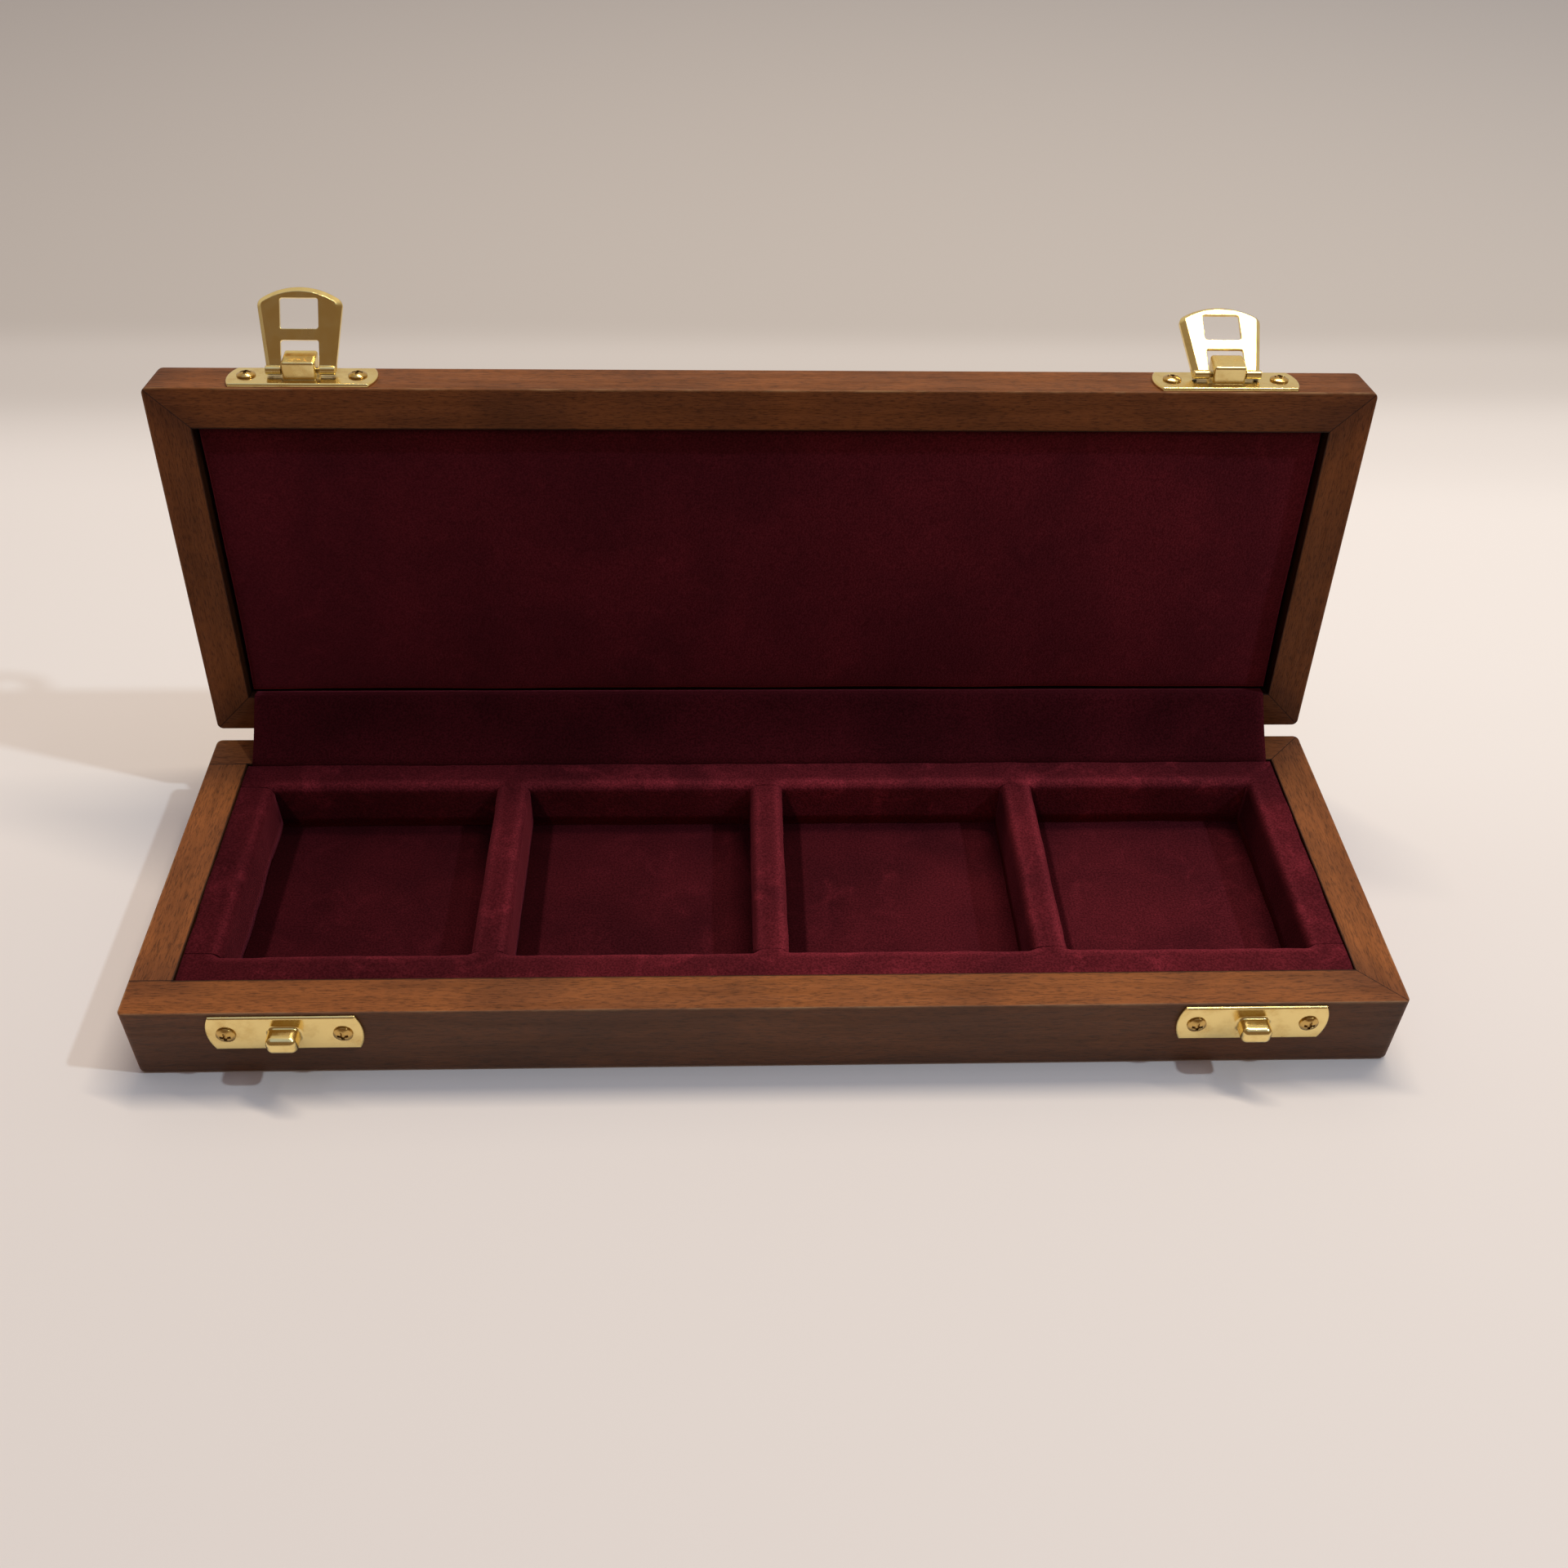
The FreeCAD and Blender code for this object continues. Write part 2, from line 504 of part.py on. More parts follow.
def hinge_leaf(label, rim, inward, pin_height, bore_clearance, outer_knuckles, place):
    """Leaf with its middle on X = 0. inward is 1 where the wood lies above the rim, else -1."""
    body = new_body(label)
    flat = add_sketch(body, f"{label}_flat", "YZ_Plane")
    back = f"{rim} + {inward} * leaf_thickness"
    low, high = (rim, back) if inward > 0 else (back, rim)
    draw_rectangle(flat, f"{BACK} - leaf_depth", HINGE_Y, low, high)
    grow(body, f"{label}_plate", "Pad", flat, "leaf_length", both_ways=True)
    barrel = add_sketch(body, f"{label}_barrel", "YZ_Plane")
    draw_circle(barrel, HINGE_Y, pin_height, "knuckle_radius")
    grow(body, f"{label}_knuckles", "Pad", barrel, "leaf_length", both_ways=True)
    notch = add_sketch(body, f"{label}_notch", "XY_Plane", rim)
    past = f"{HINGE_Y} + knuckle_radius + {BEYOND}"
    if outer_knuckles:
        reach = "(leaf_length / 6 + knuckle_gap / 2)"
        draw_rectangle(notch, f"-{reach}", reach, BACK, past)
    else:
        reach = "(leaf_length / 6 - knuckle_gap / 2)"
        draw_rectangle(notch, f"-leaf_length / 2 - {BEYOND}", f"-{reach}", BACK, past)
        draw_rectangle(notch, reach, f"leaf_length / 2 + {BEYOND}", BACK, past)
    grow(body, f"{label}_notches", "Pocket", notch, "6 * knuckle_radius", both_ways=True)
    bore = add_sketch(body, f"{label}_bore", "YZ_Plane")
    draw_circle(bore, HINGE_Y, pin_height, f"hinge_pin_radius + {bore_clearance}")
    grow(body, f"{label}_pin_bore", "Pocket", bore, f"leaf_length + {BEYOND}", both_ways=True)
    hole = add_sketch(body, f"{label}_hole", "XY_Plane", rim)
    for side, sign in SIDES:
        draw_circle(hole, f"{sign} * leaf_screw_spacing / 2", LEAF_SCREW_Y,
                    "leaf_screw_shank_radius + press_clearance")
    grow(body, f"{label}_holes", "Pocket", hole, f"2 * leaf_thickness + {BEYOND}", both_ways=True)
    face = value(rim)
    dress(body, f"{label}_sinks", "Chamfer", "leaf_screw_head_radius - leaf_screw_shank_radius",
          lambda edge: lies_at(edge, "Z", face) and edge.Curve.TypeId == "Part::GeomCircle"
          and edge.BoundBox.YMax < value(BACK))
    finish(body, label, place, placed(f"{side_sign(label)} * {HINGE_X}"))


def side_sign(label):
    return dict(SIDES)[label.split("_")[0]]


def pin(label, length, radius, place, x, y, z):
    """Round pin along X with its middle at x, y, z."""
    body = doc.addObject("Part::Cylinder", label)
    body.setExpression("Height", bound(length))
    body.setExpression("Radius", bound(radius))
    finish(body, label, place, placed(f"{x} - ({length}) / 2", y, z, "0; 1; 0", "90"))


for side, sign in SIDES:
    hinge_leaf(f"{side}_hinge_base_leaf", "base_height", -1, HINGE_Z, "press_clearance", True, ON_BASE)
    hinge_leaf(f"{side}_hinge_lid_leaf", "0", 1, "-lid_gap / 2", "pin_clearance", False, ON_LID)
    pin(f"{side}_hinge_pin", "leaf_length", "hinge_pin_radius", ON_BASE,
        f"{sign} * {HINGE_X}", HINGE_Y, HINGE_Z)


# Screws: one of each kind, and a group of four for each place that they are used in.


def screw(name, section_corners, arcs=()):
    """Screw turned about Z, with the surface that its head rests on at Z = 0."""
    body = new_body(name)
    section = add_sketch(body, f"{name}_section", "XZ_Plane")
    draw_outline(section, section_corners, arcs)
    turned = body.newObject("PartDesign::Revolution", f"{name}_turned")
    turned.Profile = section
    turned.ReferenceAxis = (section, ["V_Axis"])
    turned.Angle = 360
    doc.recompute()
    return body


def cut_cross(body, top):
    """Cross recess in the head of a screw."""
    for name, across, along in (("first", "recess_span", "recess_slot"),
                                ("second", "recess_slot", "recess_span")):
        arm = add_sketch(body, f"{body.Name}_{name}_arm", "XY_Plane", top)
        draw_rectangle(arm, f"-{across} / 2", f"{across} / 2", f"-{along} / 2", f"{along} / 2")
        grow(body, f"{body.Name}_{name}_recess", "Pocket", arm, "recess_depth")


def screw_group(label, kind, places, group_place):
    """Separate screws of one kind in one node."""
    links = []
    for number, place in enumerate(places, 1):
        link = doc.addObject("App::Link", f"{label}_{number}")
        link.LinkedObject = kind
        link.setExpression("Placement", bound(place))
        links.append(link)
    group = doc.addObject("Part::Compound", label)
    group.Links = links
    finish(group, label, group_place)


SHANK_TIP = "screw_shank_radius / 4"
DOME_RISE = "screw_head_height - screw_head_rim"
domed_screw = screw(
    "domed_screw",
    [("0", "-screw_length"), (SHANK_TIP, "-screw_length"),
     ("screw_shank_radius", "-screw_length + 2 * screw_shank_radius"), ("screw_shank_radius", "0"),
     ("screw_head_radius", "0"), ("screw_head_radius", "screw_head_rim"), ("0", "screw_head_height")],
    [(5, "Y", f"screw_head_height - {arc_drop('screw_head_radius', DOME_RISE)}")],
)
cut_cross(domed_screw, "screw_head_height")
LEAF_TIP = "leaf_screw_shank_radius / 4"
LEAF_HEAD = "(leaf_screw_head_radius - press_clearance)"
flat_screw = screw(
    "flat_screw",
    [("0", "-leaf_screw_length"), (LEAF_TIP, "-leaf_screw_length"),
     ("leaf_screw_shank_radius", "-leaf_screw_length + 2 * leaf_screw_shank_radius"),
     ("leaf_screw_shank_radius", f"leaf_screw_shank_radius - {LEAF_HEAD}"), (LEAF_HEAD, "0"), ("0", "0")],
)
cut_cross(flat_screw, "0")
FRONT_SEAT = f"(-{BACK} - plate_thickness)"
for label, plate_middle, place in (("catch_screws", "catch_height", ON_BASE),
                                   ("latch_screws", "latch_height", ON_LID)):
    spots = [placed(x, FRONT_SEAT, plate_middle, *FACING_FRONT) for x in plate_screw_places()]
    screw_group(label, domed_screw, spots, place)
base_spots = [placed(x, LEAF_SCREW_Y, "base_height") for x in leaf_screw_places()]
lid_spots = [placed(x, LEAF_SCREW_Y, "0", "1; 0; 0", "180") for x in leaf_screw_places()]
screw_group("hinge_base_screws", flat_screw, base_spots, ON_BASE)
screw_group("hinge_lid_screws", flat_screw, lid_spots, ON_LID)


# Latches: pressed plates on the fronts, a nose on the catch, a hasp pivoted on the lid's plate.


def front_plate(label):
    """Plate with curved ends, rolled outer edges and two screw holes."""
    body = new_body(label)
    outline = add_sketch(body, f"{label}_outline", "XY_Plane")
    half = "plate_height / 2"
    end = "(plate_length / 2 - plate_end_bulge)"
    centre = f"(plate_length / 2 - {arc_drop(half, 'plate_end_bulge')})"
    corners = [(f"-{end}", f"-{half}"), (end, f"-{half}"), (end, half), (f"-{end}", half)]
    draw_outline(outline, corners, [(1, "X", centre), (3, "X", f"-{centre}")])
    grow(body, f"{label}_sheet", "Pad", outline, "plate_thickness")
    face = value("plate_thickness")
    dress(body, f"{label}_rolled", "Fillet", "plate_edge_radius", lambda edge: lies_at(edge, "Z", face))
    hole = add_sketch(body, f"{label}_hole", "XY_Plane")
    for side, sign in SIDES:
        draw_circle(hole, f"{sign} * screw_spacing / 2", "0", "screw_shank_radius + press_clearance")
    grow(body, f"{label}_holes", "Pocket", hole, "plate_thickness", reverse=True)
    return body


def raise_block(body, name, width, height, offset, reach, rise, radius, root_radius=None):
    """Block pressed out of a plate, with rounded edges and an outer face that slopes by rise.
    root_radius curves the plate up to it."""
    section = add_sketch(body, f"{name}_section", "YZ_Plane")
    low = f"({offset} - {height} / 2)"
    high = f"({offset} + {height} / 2)"
    draw_outline(section, [(low, "0"), (high, "0"), (high, f"{reach} + {rise}"), (low, reach)])
    grow(body, f"{name}_raised", "Pad", section, width, both_ways=True)
    face = value("plate_thickness")
    side = value(f"{width} / 2")

    def on_block(edge):
        return edge.BoundBox.XMax < side + 1e-4 and edge.BoundBox.XMin > -side - 1e-4

    dress(body, f"{name}_rounded", "Fillet", radius,
          lambda edge: on_block(edge) and edge.BoundBox.ZMax > face + 1e-4)
    if root_radius:
        dress(body, f"{name}_root", "Fillet", root_radius,
              lambda edge: on_block(edge) and lies_at(edge, "Z", face))


def catch_plate(side, sign):
    label = f"{side}_catch_plate"
    body = front_plate(label)
    raise_block(body, f"{side}_nose", "nose_width", "nose_height", "nose_offset", "nose_reach", "0",
                "nose_radius", "nose_root_radius")
    finish(body, label, ON_BASE,
           placed(f"{sign} * {latch_distance(side)}", f"-{BACK}", "catch_height", *FACING_FRONT))


def latch_plate(side, sign):
    label = f"{side}_latch_plate"
    body = front_plate(label)
    raise_block(body, f"{side}_block", "block_width", "block_height", "block_offset", "block_reach",
                "block_rise", "block_radius")
    bore = add_sketch(body, f"{label}_bore", "YZ_Plane")
    draw_circle(bore, "pivot_offset", "pivot_reach", "pivot_pin_radius + press_clearance")
    grow(body, f"{label}_pin_bore", "Pocket", bore, f"block_width + {BEYOND}", both_ways=True)
    finish(body, label, ON_LID,
           placed(f"{sign} * {latch_distance(side)}", f"-{BACK}", "latch_height", *FACING_FRONT))


def hasp_outline(sketch, inset, start):
    """Flared outline with an arched tip, drawn in by inset."""
    foot = f"(hasp_foot_width / 2 - {inset})"
    shoulder = f"(hasp_tip_width / 2 - {inset})"
    turn = "(hasp_length - hasp_crown)"
    crest = f"(hasp_length - {inset})"
    rise = f"({crest} - {turn})"
    corners = [(f"-{foot}", start), (foot, start), (shoulder, turn), (f"-{shoulder}", turn)]
    draw_outline(sketch, corners, [(2, "Y", f"{crest} - {arc_drop(shoulder, rise)}")])


def hasp(side, sign):
    """Hasp with its pivot on X and its tip along Y. Its rim is turned to -Z, which is outwards
    when the hasp is shut."""
    label = f"{side}_latch_hasp"
    body = new_body(label)
    outline = add_sketch(body, f"{label}_outline", "XY_Plane", "-hasp_sheet / 2 - hasp_rim_depth")
    hasp_outline(outline, "0", "0")
    grow(body, f"{label}_blank", "Pad", outline, "hasp_sheet + hasp_rim_depth")
    turn = value("hasp_length - hasp_crown")
    dress(body, f"{label}_corners", "Fillet", "hasp_corner_radius",
          lambda edge: runs_along(edge, "Z") and edge.BoundBox.YMin > turn - 1e-4)
    face = value("hasp_sheet / 2")
    dress(body, f"{label}_bevel", "Chamfer", "hasp_rim_depth",
          lambda edge: lies_at(edge, "Z", face) and edge.BoundBox.YMax > 1e-4)
    dish = add_sketch(body, f"{label}_dish", "XY_Plane", "-hasp_sheet / 2 - hasp_rim_depth")
    hasp_outline(dish, "hasp_rim_width", f"-{BEYOND}")
    grow(body, f"{label}_dished", "Pocket", dish, "hasp_rim_depth", reverse=True)
    foot = add_sketch(body, f"{label}_foot", "YZ_Plane")
    draw_circle(foot, "0", "0", "hasp_barrel_radius")
    grow(body, f"{label}_barrel", "Pad", foot, "hasp_foot_width", both_ways=True)
    windows = add_sketch(body, f"{label}_window", "XY_Plane")
    for low, high in (("window_start", "window_end"), (f"-2 * hasp_barrel_radius - {BEYOND}", "slot_end")):
        draw_rectangle(windows, "-window_width / 2", "window_width / 2", low, high)
    grow(body, f"{label}_windows", "Pocket", windows, f"4 * hasp_barrel_radius + {BEYOND}", both_ways=True)
    side_of_window = value("window_width / 2")
    dress(body, f"{label}_window_corners", "Fillet", "window_radius",
          lambda edge: runs_along(edge, "Z") and edge.BoundBox.YMin > value("slot_end") - 1e-4
          and abs(abs(edge.BoundBox.XMin) - side_of_window) < 1e-4)
    bore = add_sketch(body, f"{label}_bore", "YZ_Plane")
    draw_circle(bore, "0", "0", "pivot_pin_radius + pin_clearance")
    grow(body, f"{label}_pin_bore", "Pocket", bore, f"hasp_foot_width + {BEYOND}", both_ways=True)
    finish(body, label, ON_LID,
           placed(f"{sign} * {latch_distance(side)}", PIVOT_Y, PIVOT_Z,
                  "1; 0; 0", f"-180 - {side}_hasp_lean"))


PIVOT_Y = f"(-{BACK} - pivot_reach)"
PIVOT_Z = "(latch_height + pivot_offset)"
for side, sign in SIDES:
    catch_plate(side, sign)
    latch_plate(side, sign)
    hasp(side, sign)
    pin(f"{side}_latch_pin", "hasp_foot_width", "pivot_pin_radius", ON_LID,
        f"{sign} * {latch_distance(side)}", PIVOT_Y, PIVOT_Z)


doc.recompute()
for each in doc.Objects:
    if "Invalid" in each.State or "Error" in each.State:
        raise ValueError(f"{each.Label} could not be built")
for piece in pieces:
    if piece.Shape.isNull() or not piece.Shape.isValid():
        raise ValueError(f"{piece.Label} has no valid shape")
os.makedirs("parts", exist_ok=True)
for piece in pieces:
    piece.Shape.exportStep(f"parts/{piece.Label}.step")
    print(piece.Label, len(piece.Shape.Solids), round(piece.Shape.Volume, 2))
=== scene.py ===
# Looks of the watch box: stained wood, dark red velvet and polished brass.
import json
import math

import bmesh
import bpy
from mathutils import Matrix, Vector, noise


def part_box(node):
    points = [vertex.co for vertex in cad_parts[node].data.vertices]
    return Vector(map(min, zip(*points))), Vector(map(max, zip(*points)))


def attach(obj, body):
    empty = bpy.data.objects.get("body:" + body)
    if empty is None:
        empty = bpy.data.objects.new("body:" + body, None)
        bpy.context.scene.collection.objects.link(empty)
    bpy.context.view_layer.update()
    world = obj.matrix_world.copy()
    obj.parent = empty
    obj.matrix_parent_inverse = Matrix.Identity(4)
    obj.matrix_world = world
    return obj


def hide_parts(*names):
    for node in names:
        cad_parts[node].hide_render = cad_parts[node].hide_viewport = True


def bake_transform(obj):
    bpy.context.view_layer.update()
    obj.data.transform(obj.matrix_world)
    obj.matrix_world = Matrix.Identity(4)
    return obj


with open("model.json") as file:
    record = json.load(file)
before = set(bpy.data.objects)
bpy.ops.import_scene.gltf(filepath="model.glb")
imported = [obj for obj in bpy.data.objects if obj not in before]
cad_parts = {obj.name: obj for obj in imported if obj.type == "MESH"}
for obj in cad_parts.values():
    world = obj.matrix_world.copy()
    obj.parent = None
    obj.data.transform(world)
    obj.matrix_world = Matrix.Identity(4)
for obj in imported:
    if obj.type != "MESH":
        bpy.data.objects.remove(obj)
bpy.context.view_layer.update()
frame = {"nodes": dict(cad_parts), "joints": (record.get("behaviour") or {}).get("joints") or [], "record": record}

MM = 0.001
ALONG_X, ALONG_Y = 0, 1

# How the lid moves between open, as it stands, and shut
joints = {joint["name"]: joint for joint in frame["joints"]}
LID_HINGE = Vector(joints["lid_hinge"]["pos_m"])
LID_SWING = math.radians(joints["lid_hinge"]["range_deg"][1])
SHUT = (
    Matrix.Translation(LID_HINGE)
    @ Matrix.Rotation(LID_SWING, 4, "X")
    @ Matrix.Translation(-LID_HINGE)
)
OPEN = SHUT.inverted()

BASE_RAILS = ["base_front_rail", "base_back_rail", "base_left_rail", "base_right_rail"]
LID_RAILS = ["lid_front_rail", "lid_back_rail", "lid_left_rail", "lid_right_rail"]
DIVIDERS = ["velvet_divider_1", "velvet_divider_2", "velvet_divider_3"]
CROSS_BARS = ["left_velvet_strip", *DIVIDERS, "right_velvet_strip"]
VELVET_BARS = [
    "front_velvet_strip", "back_velvet_strip", "left_velvet_strip", "right_velvet_strip",
    *DIVIDERS,
]


def corners(points):
    """The lowest and highest corners of some points."""
    points = list(points)
    low = Vector(min(point[axis] for point in points) for axis in range(3))
    high = Vector(max(point[axis] for point in points) for axis in range(3))
    return low, high


def shut_box(*nodes):
    """The box of some of the lid's nodes with the lid shut."""
    meshes = [frame["nodes"][node].data for node in nodes]
    return corners(SHUT @ vertex.co for mesh in meshes for vertex in mesh.vertices)


def joined_box(*nodes):
    """The box of some nodes as they stand."""
    return corners(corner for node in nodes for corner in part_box(node))


def well_spans():
    """Where the wells lie between the strips and dividers: left, right, front and back of each."""
    bars = [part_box(node) for node in CROSS_BARS]
    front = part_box("front_velvet_strip")[1].y
    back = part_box("back_velvet_strip")[0].y
    return [(one[1].x, other[0].x, front, back) for one, other in zip(bars, bars[1:])]


# Materials

# The colour sockets of a Mix node
MIX_COLOURS = slice(6, 8)
MIX_RESULT = 2


class Shading:
    """Short ways to make and join the nodes of a material or of the room."""

    def __init__(self, tree):
        self.nodes = tree.nodes
        self.links = tree.links

    def feed(self, socket, value):
        """Joins a socket to another one, or sets its value."""
        if isinstance(value, bpy.types.NodeSocket):
            self.links.new(value, socket)
        else:
            socket.default_value = value

    def stretched(self, vector, scales):
        """A vector multiplied axis by axis."""
        node = self.nodes.new("ShaderNodeVectorMath")
        node.operation = "MULTIPLY"
        self.feed(node.inputs[0], vector)
        node.inputs[1].default_value = scales
        return node.outputs["Vector"]

    def axes(self, vector):
        """The three parts of a vector."""
        node = self.nodes.new("ShaderNodeSeparateXYZ")
        self.feed(node.inputs[0], vector)
        return node.outputs

    def noise(self, vector, detail, size=1.0, roughness=0.5, distortion=0.0):
        """Noise between 0 and 1, in lumps of about this size."""
        node = self.nodes.new("ShaderNodeTexNoise")
        self.feed(node.inputs["Vector"], vector)
        node.inputs["Scale"].default_value = 1 / size
        node.inputs["Detail"].default_value = detail
        node.inputs["Roughness"].default_value = roughness
        node.inputs["Distortion"].default_value = distortion
        return node.outputs[0]

    def maths(self, operation, *values):
        """The result of one operation on plain amounts."""
        node = self.nodes.new("ShaderNodeMath")
        node.operation = operation
        for socket, value in zip(node.inputs, values):
            self.feed(socket, value)
        return node.outputs[0]

    def spread(self, value, low, high, to_low=0.0, to_high=1.0):
        """Maps low..high smoothly to to_low..to_high."""
        node = self.nodes.new("ShaderNodeMapRange")
        node.interpolation_type = "SMOOTHSTEP"
        for socket, amount in zip(node.inputs, (value, low, high, to_low, to_high)):
            self.feed(socket, amount)
        return node.outputs[0]

    def mix(self, factor, first, second):
        """A colour between two others."""
        node = self.nodes.new("ShaderNodeMix")
        node.data_type = "RGBA"
        self.feed(node.inputs[0], factor)
        for socket, colour in zip(node.inputs[MIX_COLOURS], (first, second)):
            if not isinstance(colour, bpy.types.NodeSocket):
                colour = (*colour, 1.0)
            self.feed(socket, colour)
        return node.outputs[MIX_RESULT]

    def shaded(self, colour, amount):
        """A colour multiplied by a plain amount."""
        node = self.nodes.new("ShaderNodeVectorMath")
        node.operation = "SCALE"
        self.feed(node.inputs[0], colour)
        self.feed(node.inputs["Scale"], amount)
        return node.outputs["Vector"]


class Finish(Shading):
    """One procedural material that feeds a Principled shader."""

    def __init__(self, name):
        self.material = bpy.data.materials.new(name)
        self.material.use_nodes = True
        super().__init__(self.material.node_tree)
        self.shader = self.nodes["Principled BSDF"]
        self.place = self.nodes.new("ShaderNodeTexCoord").outputs["Object"]

    def set(self, **values):
        """Feeds the shader's sockets, with _ for the spaces in their names."""
        for name, value in values.items():
            self.feed(self.shader.inputs[name.replace("_", " ")], value)

    def turned(self, matrix):
        """Object coordinates turned and moved by a matrix."""
        mapping = self.nodes.new("ShaderNodeMapping")
        self.feed(mapping.inputs["Vector"], self.place)
        mapping.inputs["Location"].default_value = matrix.translation
        mapping.inputs["Rotation"].default_value = matrix.to_euler()
        return mapping.outputs["Vector"]

    def crevices(self, reach):
        """1 in the open, less where other surfaces lie within reach."""
        node = self.nodes.new("ShaderNodeAmbientOcclusion")
        node.samples = 8
        node.inputs["Distance"].default_value = reach
        return node.outputs["AO"]

    def bump(self, height, depth, strength, eased=None):
        """Relief from a height, on edges that look eased by a radius."""
        node = self.nodes.new("ShaderNodeBump")
        node.inputs["Strength"].default_value = strength
        node.inputs["Distance"].default_value = depth
        self.feed(node.inputs["Height"], height)
        if eased:
            bevel = self.nodes.new("ShaderNodeBevel")
            bevel.samples = 6
            bevel.inputs["Radius"].default_value = eased
            self.feed(node.inputs["Normal"], bevel.outputs[0])
        self.set(Normal=node.outputs[0])


DARK_STAIN = (0.118, 0.0355, 0.0115)
WARM_STAIN = (0.262, 0.0800, 0.0185)
# Lighter arrises: partly real wear, partly a painted highlight where the edges catch the light
WORN_AND_GLINTING_EDGE = (0.42, 0.22, 0.095)
JOINT_GLUE = (0.022, 0.009, 0.005)
# A grey painted reflection on the base's front and back faces
FRONT_PAINTED_REFLECTION = (0.120, 0.100, 0.085)

# How long each figure of the wood is along the grain, and how wide across it
PORES = (2.4 * MM, 0.3 * MM)
STREAKS = (26 * MM, 1.6 * MM)
BLOTCHES = (30 * MM, 14 * MM)
RUBS_AND_GLINTS = (14 * MM, 3 * MM)
WOOD_CLOUDS = 70 * MM

# Spreads: a low and a high value, then the amounts that they turn into
BLOTCH_WARMTH = (0.28, 0.72, 0.35, 1.0)
CLOUD_WARMTH = (0.3, 0.7, -0.1, 0.15)
JOINT_WARMTH = (0.0, 12 * MM, 0.35, 1.0)
STREAK_SHADE = (0.3, 0.7, 0.88, 1.08)
PORE_SHADE = (0.32, 0.55, 0.52, 1.08)
ARRIS_WEAR_AND_GLINT = (0.2 * MM, 0.6 * MM, 1.0, 0.0)
RUB_WEAR_AND_GLINT = (0.44, 0.62, 0.1, 0.6)
JOINT_LINE = (0.06 * MM, 0.22 * MM, 0.85, 0.0)
# Painted shade on the base's front and back faces
FRONT_PAINTED_SHADE = (0.1 * MM, 0.5 * MM, 0.6, 1.0)
# How much the painted reflection greys the base's front and back
FRONT_PAINTED_REFLECTION_SHARE = (0.1 * MM, 0.5 * MM, 0.32, 0.0)
WOOD_ROUGHNESS = (0.3, 0.7, 0.62, 0.48)

# Painted shade on the rails' inner faces, in the narrow gaps beside the lining: where it starts to darken and is
# dark, this far short of the rail's width
INNER_FADE = (0.5 * MM, 0.1 * MM)
INNER_PAINTED_SHADE = 0.2
# The lid's wood is darkened all over: painted shade on the upright lid
LID_PAINTED_SHADE = 0.74
STREAK_RELIEF = 0.6
WOOD_RELIEF = 0.1 * MM
WOOD_EASE = 0.3 * MM


def rail_marks(finish, place, box, rail_width, all_mitred):
    """How far a point lies from the box's nearest side, from its front or back, from its nearest
    arris and from the nearest corner joint. Where not all corners are mitred, the left rail is
    butted between the front and the back one."""
    low, high = box
    sides = finish.axes(place)
    insets = []
    for axis in range(3):
        middle = (low[axis] + high[axis]) / 2
        reach = (high[axis] - low[axis]) / 2
        offset = finish.maths("ABSOLUTE", finish.maths("SUBTRACT", sides[axis], middle))
        insets.append(finish.maths("SUBTRACT", reach, offset))
    nearer = finish.maths("MINIMUM", insets[0], insets[1])
    farther = finish.maths("MAXIMUM", insets[0], insets[1])
    arris = finish.maths("MAXIMUM", nearer, finish.maths("MINIMUM", farther, insets[2]))
    joint = finish.maths("ABSOLUTE", finish.maths("SUBTRACT", insets[0], insets[1]))
    if not all_mitred:
        butt = finish.maths(
            "MAXIMUM",
            finish.maths("ABSOLUTE", finish.maths("SUBTRACT", insets[1], rail_width)),
            finish.maths("SUBTRACT", insets[0], rail_width),
        )
        on_left = finish.maths("LESS_THAN", sides[0], 0.0)
        change = finish.maths("SUBTRACT", butt, joint)
        joint = finish.maths("MULTIPLY_ADD", on_left, change, joint)
    return nearer, insets[1], arris, joint


